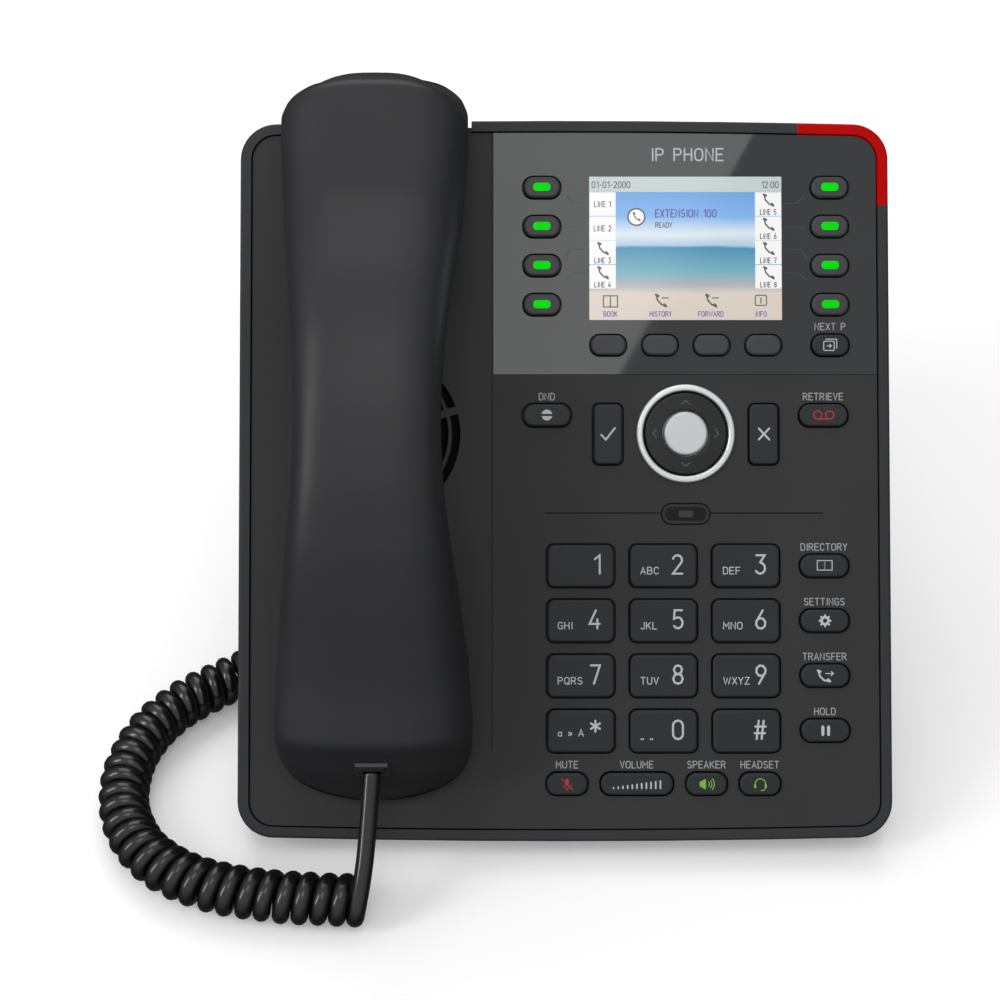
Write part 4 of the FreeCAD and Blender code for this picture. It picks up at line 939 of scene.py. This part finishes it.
# The pictures on the function keys, in millimetres from each key's middle: the ink, then the
# points and the width of each line, and True where it closes. Width 0 is a filled outline.
ICONS = {
    "confirm_key": ("print", [([(-1.9, -0.2), (-0.6, -1.6), (2.0, 1.7)], 0.55)]),
    "cancel_key": ("print", [([(-1.5, -1.6), (1.5, 1.6)], 0.55), ([(-1.5, 1.6), (1.5, -1.6)], 0.55)]),
    "dnd_key": ("print", [(arc(0, 0, 1.55, 1.55, start, start + 156), 0) for start in (12, 192)]),
    "message_key": ("print_red", [
        (circle(-1.7, 0, 1.15), 0.34, True), (circle(1.7, 0, 1.15), 0.34, True),
        ([(-1.7, -1.15), (1.7, -1.15)], 0.34)]),
    "directory_key": ("print", [
        (page, FINE, True) for page in both([(0, -1.2), (0, 1.5), (2.1, 1.5), (2.1, -1.2)])]),
    "settings_key": ("print", [
        (circle(0, 0, 1.0), 0.75, True), *((tooth(45 * number), 0.5) for number in range(8))]),
    "transfer_key": ("print", [
        ([(-2.0, 1.2), (-1.5, -0.2), (-0.4, -1.3), (1.1, -1.6)], 0.5),
        ([(-2.1, 1.4), (-1.4, 1.1)], 0.7), ([(0.7, -1.1), (1.3, -1.6)], 0.7),
        ([(0.1, 0.6), (2.2, 0.6)], FINE), ([(1.6, 1.2), (2.3, 0.6), (1.6, 0)], FINE)]),
    "hold_key": ("print", [(bar, 0.85) for bar in both([(0.8, -1.1), (0.8, 1.1)])]),
    "page_key": ("print", [
        (rounded(-0.5, -0.3, 3.0, 2.6, 0.2, 1), FINE, True),
        ([(-1.4, 1.6), (1.7, 1.6), (1.7, -1.0)], FINE), ([(-1.1, -0.3), (0.1, -0.3)], FINE),
        ([(-0.3, 0.2), (0.2, -0.3), (-0.3, -0.8)], FINE)]),
    "mute_key": ("print_red", [
        ([(0, -0.1), (0, 1.1)], 0.95), (arc(0, 0, 1.1, 1.2, 190, 350), 0.24),
        ([(0, -1.2), (0, -1.8)], 0.24), ([(-1.5, 1.5), (1.6, -1.6)], 0.3)]),
    "speaker_key": ("print_green", [
        ([(-1.7, -0.5), (-1.7, 0.5)], 0.7), ([(-1.0, -0.8), (-1.0, 0.8)], 0.8),
        ([(-0.5, -1.2), (-0.5, 1.2)], 0.5),
        *((arc(-0.2, 0, reach, reach, -42, 42, 8), 0.26) for reach in (0.9, 1.6, 2.3))]),
    "headset_key": ("print_green", [
        (arc(0, -0.1, 1.5, 1.6, -10, 190, 16), 0.28),
        *((cup, 0.6) for cup in both([(1.5, -0.9), (1.5, -0.2)])),
        ([(1.5, -0.9), (1.0, -1.7), (0.2, -1.8)], 0.24)]),
    "volume_rocker": ("print", [
        ([(1.32 * step - 6.6, -1.2), (1.32 * step - 6.6, 0.19 * step - 1.0)], 0.45)
        for step in range(11)]),
}


def make_icons(materials):
    for node, (tone, lines) in ICONS.items():
        drawing = key_drawing(node, tone, materials, "icon")
        u, v = centre_of(node)
        for points, width, *closed in lines:
            points = [(u + x, v + y) for x, y in points]
            if width:
                drawing.stroke(points, width, bool(closed))
            else:
                drawing.fill(points)
        drawing.finish()


# A chevron at the right of the navigation ring.
CHEVRON = ((8.3, -1.2), (9.3, 0.0), (8.3, 1.2))


def make_nav_marks(materials):
    """Four dark chevrons on the navigation ring."""
    drawing = Drawing("nav_chevrons", "nav_ring", "print_white", materials["faint"],
                      top_of("nav_ring") + INK_LIFT)
    for turn in range(4):
        cos, sin = math.cos(math.pi / 2 * turn), math.sin(math.pi / 2 * turn)
        drawing.stroke([(NAV[0] + along * cos - across * sin, NAV[1] + along * sin + across * cos)
                        for along, across in CHEVRON], 0.32)
    drawing.finish()


def make_lamps(materials):
    """The green light window in each line key."""
    for side in ("left", "right"):
        for number in range(1, 5):
            node = f"line_key_{side}_{number}"
            window = rounded(*centre_of(node), 4.9, 2.3, 1.0, 6)
            plate(f"lamp_{node}", node, "lamp_green", materials["lamp"], top_of(node) + 0.02, 0.12,
                  window)


SENSOR = (34.4, -10.05)
# The sensor's plates: slot, material, height, relief, width, length, corner and corner steps.
SENSOR_PLATES = {
    # The gap round the pill is a plate of painted shade.
    "sensor_gap": ("keys", "recess", 0.0, 0.03, 14.2, 6.3, 3.1, 8),
    "sensor_pill": ("keys", "key", 0.0, 0.30, 13.4, 5.5, 2.7, 8),
    "sensor_dish": ("keys", "plug", 0.30, 0.05, 11.8, 3.9, 1.9, 8),
    "sensor_window": ("display_cover", "cover", 0.36, 0.06, 4.1, 1.9, 0.5, 4),
}


def make_sensor(materials):
    """The light sensor's pill on the divider line, with its small window; the gap round it is painted
    shade.
    """
    for name, (slot, material, height, relief, *outline) in SENSOR_PLATES.items():
        plate(name, "base", slot, materials[material], height, relief, rounded(*SENSOR, *outline))


# ------------------------------------------------------------------ the screen

# The wallpaper's colours from the screen's foot to its top, as (share of the height, colour).
WALLPAPER = [
    (0.0, (0.68, 0.60, 0.52)), (0.19, (0.70, 0.62, 0.54)), (0.24, (0.42, 0.44, 0.46)),
    (0.33, (0.17, 0.42, 0.50)), (0.50, (0.035, 0.26, 0.46)), (0.52, (0.42, 0.58, 0.74)),
    (0.60, (0.72, 0.79, 0.86)), (0.72, (0.20, 0.44, 0.80)), (0.98, (0.09, 0.29, 0.72)),
]
WALLPAPER_GLOW = 0.95
# How far the bands wander, as a share of the height.
WALLPAPER_WANDER = 0.02
# What is under the lit colour of every part of the screen.
SCREEN_GLASS = {"Base Color": (0.01, 0.01, 0.01, 1), "Roughness": 0.12}
LEFT = SCREEN_U - SCREEN_W / 2
TOP = SCREEN_V + SCREEN_H / 2
FOOT = SCREEN_V - SCREEN_H / 2
STATUS_HEIGHT = 4.4
TAB_WIDTH = 7.6
TAB_HEIGHT = 6.95
BADGE = (SCREEN_U - 14.0, TOP - 11.6)
# The sheets of artwork over the wallpaper: name, ink's name, its colour and the sheet's height.
SCREEN_SHEETS = [
    ("tabs", "screen_paper", (0.87, 0.87, 0.88), 0.07),
    ("words", "screen_text", (0.012, 0.012, 0.018), 0.13),
    ("names", "screen_violet", (0.10, 0.055, 0.30), 0.13),
    ("icons", "screen_grey", (0.085, 0.085, 0.09), 0.13),
]
# The words over the wallpaper: sheet, text, u, v, height, weight and side.
SCREEN_WORDS = [
    ("words", "01-01-2000", LEFT + 0.8, TOP - 3.2, 1.75, 0.22, 0.0),
    ("words", "12:00", LEFT + SCREEN_W - 0.9, TOP - 3.2, 1.75, 0.22, 1.0),
    ("names", "EXTENSION 100", SCREEN_U - 8.5, TOP - 11.6, 2.1, 0.30, 0.0),
    ("words", "READY", SCREEN_U - 8.5, TOP - 14.6, 1.4, 0.20, 0.0),
]


def wallpaper():
    """A lit picture: colour bands up the screen, read from the place on it."""
    material, nodes, links, shader = new_material("screen_view")
    place = add_node(nodes, "TexCoord")
    dot = add_node(nodes, "VectorMath", {1: UP}, operation="DOT_PRODUCT")
    links.new(place.outputs["Object"], dot.inputs[0])
    ends = (at(SCREEN_U, FOOT).dot(UP), at(SCREEN_U, TOP).dot(UP))
    level = add_range(nodes, links, dot.outputs["Value"], (0.0, 1.0), ends)
    stretch = add_node(nodes, "Mapping", {"Scale": (60, 260, 260)})
    links.new(place.outputs["Object"], stretch.inputs["Vector"])
    noise = add_node(nodes, "TexNoise", {"Scale": 1.0, "Detail": 4.0})
    links.new(stretch.outputs["Vector"], noise.inputs["Vector"])
    wander = (-WALLPAPER_WANDER, WALLPAPER_WANDER)
    total = add_node(nodes, "Math", operation="ADD")
    links.new(level, total.inputs[0])
    links.new(add_range(nodes, links, noise.outputs["Fac"], wander), total.inputs[1])
    ramp = add_node(nodes, "ValToRGB")
    elements = ramp.color_ramp.elements
    while len(elements) < len(WALLPAPER):
        elements.new(0.5)
    for element, (position, colour) in zip(elements, WALLPAPER):
        element.position = position
        element.color = (*colour, 1)
    links.new(total.outputs[0], ramp.inputs["Fac"])
    links.new(ramp.outputs["Color"], shader.inputs["Emission Color"])
    set_inputs(shader, {**SCREEN_GLASS, "Emission Strength": WALLPAPER_GLOW})
    return material


def lit_ink(name, colour):
    """A flat colour on the lit screen."""
    material, _, _, shader = new_material(name)
    set_inputs(shader, {**SCREEN_GLASS, "Emission Color": (*colour, 1), "Emission Strength": 1.0})
    return material


def make_screen():
    """A lit colour display: a plain sky, sea and sand, tabs at the sides and a bar below."""
    plate("screen_picture", "base", "screen_picture", wallpaper(), 0.02, 0.02,
          rounded(SCREEN_U, SCREEN_V, SCREEN_W, SCREEN_H, 0.2, 2))
    plate("screen_status", "base", "screen_picture", lit_ink("screen_bar", (0.50, 0.58, 0.56)),
          0.06, 0.02, rounded(SCREEN_U, TOP - STATUS_HEIGHT / 2, SCREEN_W, STATUS_HEIGHT, 0.1, 1))
    sheets = {name: Drawing(f"screen_{name}", "base", "screen_picture", lit_ink(tone, colour), height,
                            0.02) for name, tone, colour, height in SCREEN_SHEETS}
    tabs, words, names, icons = sheets.values()
    for sheet, text, u, v, height, weight, side in SCREEN_WORDS:
        write(sheets[sheet], text, u, v, height, weight, align=side, narrow=0.86)
    for number in range(4):
        v = TOP - STATUS_HEIGHT - TAB_HEIGHT * (number + 0.5)
        for side, u in ((0, LEFT + TAB_WIDTH / 2), (1, LEFT + SCREEN_W - TAB_WIDTH / 2)):
            tabs.fill(rounded(u, v, TAB_WIDTH - 0.1, TAB_HEIGHT - 0.2, 0.1, 1))
            label = f"LINE {number + 1 + 4 * side}"
            if side or number > 1:
                phone_icon(icons, u, v + 1.0, 1.15)
                write(words, label, u, v - 3.0, 1.45, 0.22, narrow=0.8)
            else:
                write(words, label, u, v - 0.8, 1.55, 0.22, narrow=0.8)
    tabs.fill(circle(*BADGE, 2.4))
    icons.stroke(circle(*BADGE, 2.4), 0.45, closed=True)
    phone_icon(icons, *BADGE, 0.8)
    for number, label in enumerate(("BOOK", "HISTORY", "FORWARD", "INFO")):
        u = SCREEN_U + (number - 1.5) * 14.3
        write(names, label, u, FOOT + 1.0, 1.4, 0.22, narrow=0.86)
        if number == 0:
            page = [(u - 2, FOOT + 3.7), (u - 2, FOOT + 6.9), (u + 2, FOOT + 6.9), (u + 2, FOOT + 3.7)]
            icons.stroke(page, 0.32, closed=True)
            icons.stroke([(u, FOOT + 3.9), (u, FOOT + 6.9)], 0.32)
        elif number == 3:
            icons.stroke(rounded(u, FOOT + 5.6, 3.2, 2.9, 0.4, 2), 0.32, closed=True)
            icons.stroke([(u, FOOT + 4.8), (u, FOOT + 6.3)], 0.34)
        else:
            phone_icon(icons, u, FOOT + 5.4, 1.2)
            icons.stroke([(u + 0.4, FOOT + 6.3), (u + 2.2, FOOT + 6.3)], 0.32)
    for sheet in sheets.values():
        sheet.finish()


# A slanted handset's strokes, each with its width.
HANDSET_ICON = [
    ([(-1.0, 1.4), (-0.7, 0.2), (0.2, -0.8), (1.3, -1.3)], 0.4),
    ([(-1.1, 1.5), (-0.5, 1.2)], 0.6), ([(0.9, -0.8), (1.3, -1.3)], 0.6),
]


def phone_icon(drawing, u, v, scale):
    for points, width in HANDSET_ICON:
        drawing.stroke([(u + x * scale, v + y * scale) for x, y in points], width * scale)


# ------------------------------------------------------------------ CAD pieces

NODE_MATERIALS = {
    "housing": ("lower_housing", "stand"), "panel": ("upper_housing",), "cover": ("display_cover",),
    "red": ("call_indicator",), "trim": ("nav_bezel",), "button": ("select_button",),
    # The loudspeaker is coloured in the near-black of painted shade.
    "nav": ("nav_ring",), "recess": ("loudspeaker",), "board": ("main_board",),
    "socket": ("jacks",), "rubber": ("feet",), "screw": ("housing_screws",),
    "plug": ("base_plug", "handset_plug"), "cord": ("cord_leads", "cord_coil"),
    "handset": ("handset_back", "handset_face"), "inner_plastic": ("hook_plunger", "nav_gimbal"),
    "inner_metal": ("lcd_module", "handset_capsules"),
}


def paint_nodes(materials):
    chosen = {name: key for key, names in NODE_MATERIALS.items() for name in names}
    for name, node in frame["nodes"].items():
        plain = "line_key" if name.startswith(("line_key", "soft_key")) else "key"
        node.data.materials.clear()
        node.data.materials.append(materials[chosen.get(name, plain)])


# ------------------------------------------------------------------ make everything

make_camera()
make_studio()
MATERIALS = make_materials()
for make in (make_cord, paint_nodes, make_handset, make_plug_rim, write_dial, write_labels,
             make_icons, make_nav_marks, make_lamps, make_sensor):
    make(MATERIALS)
make_screen()
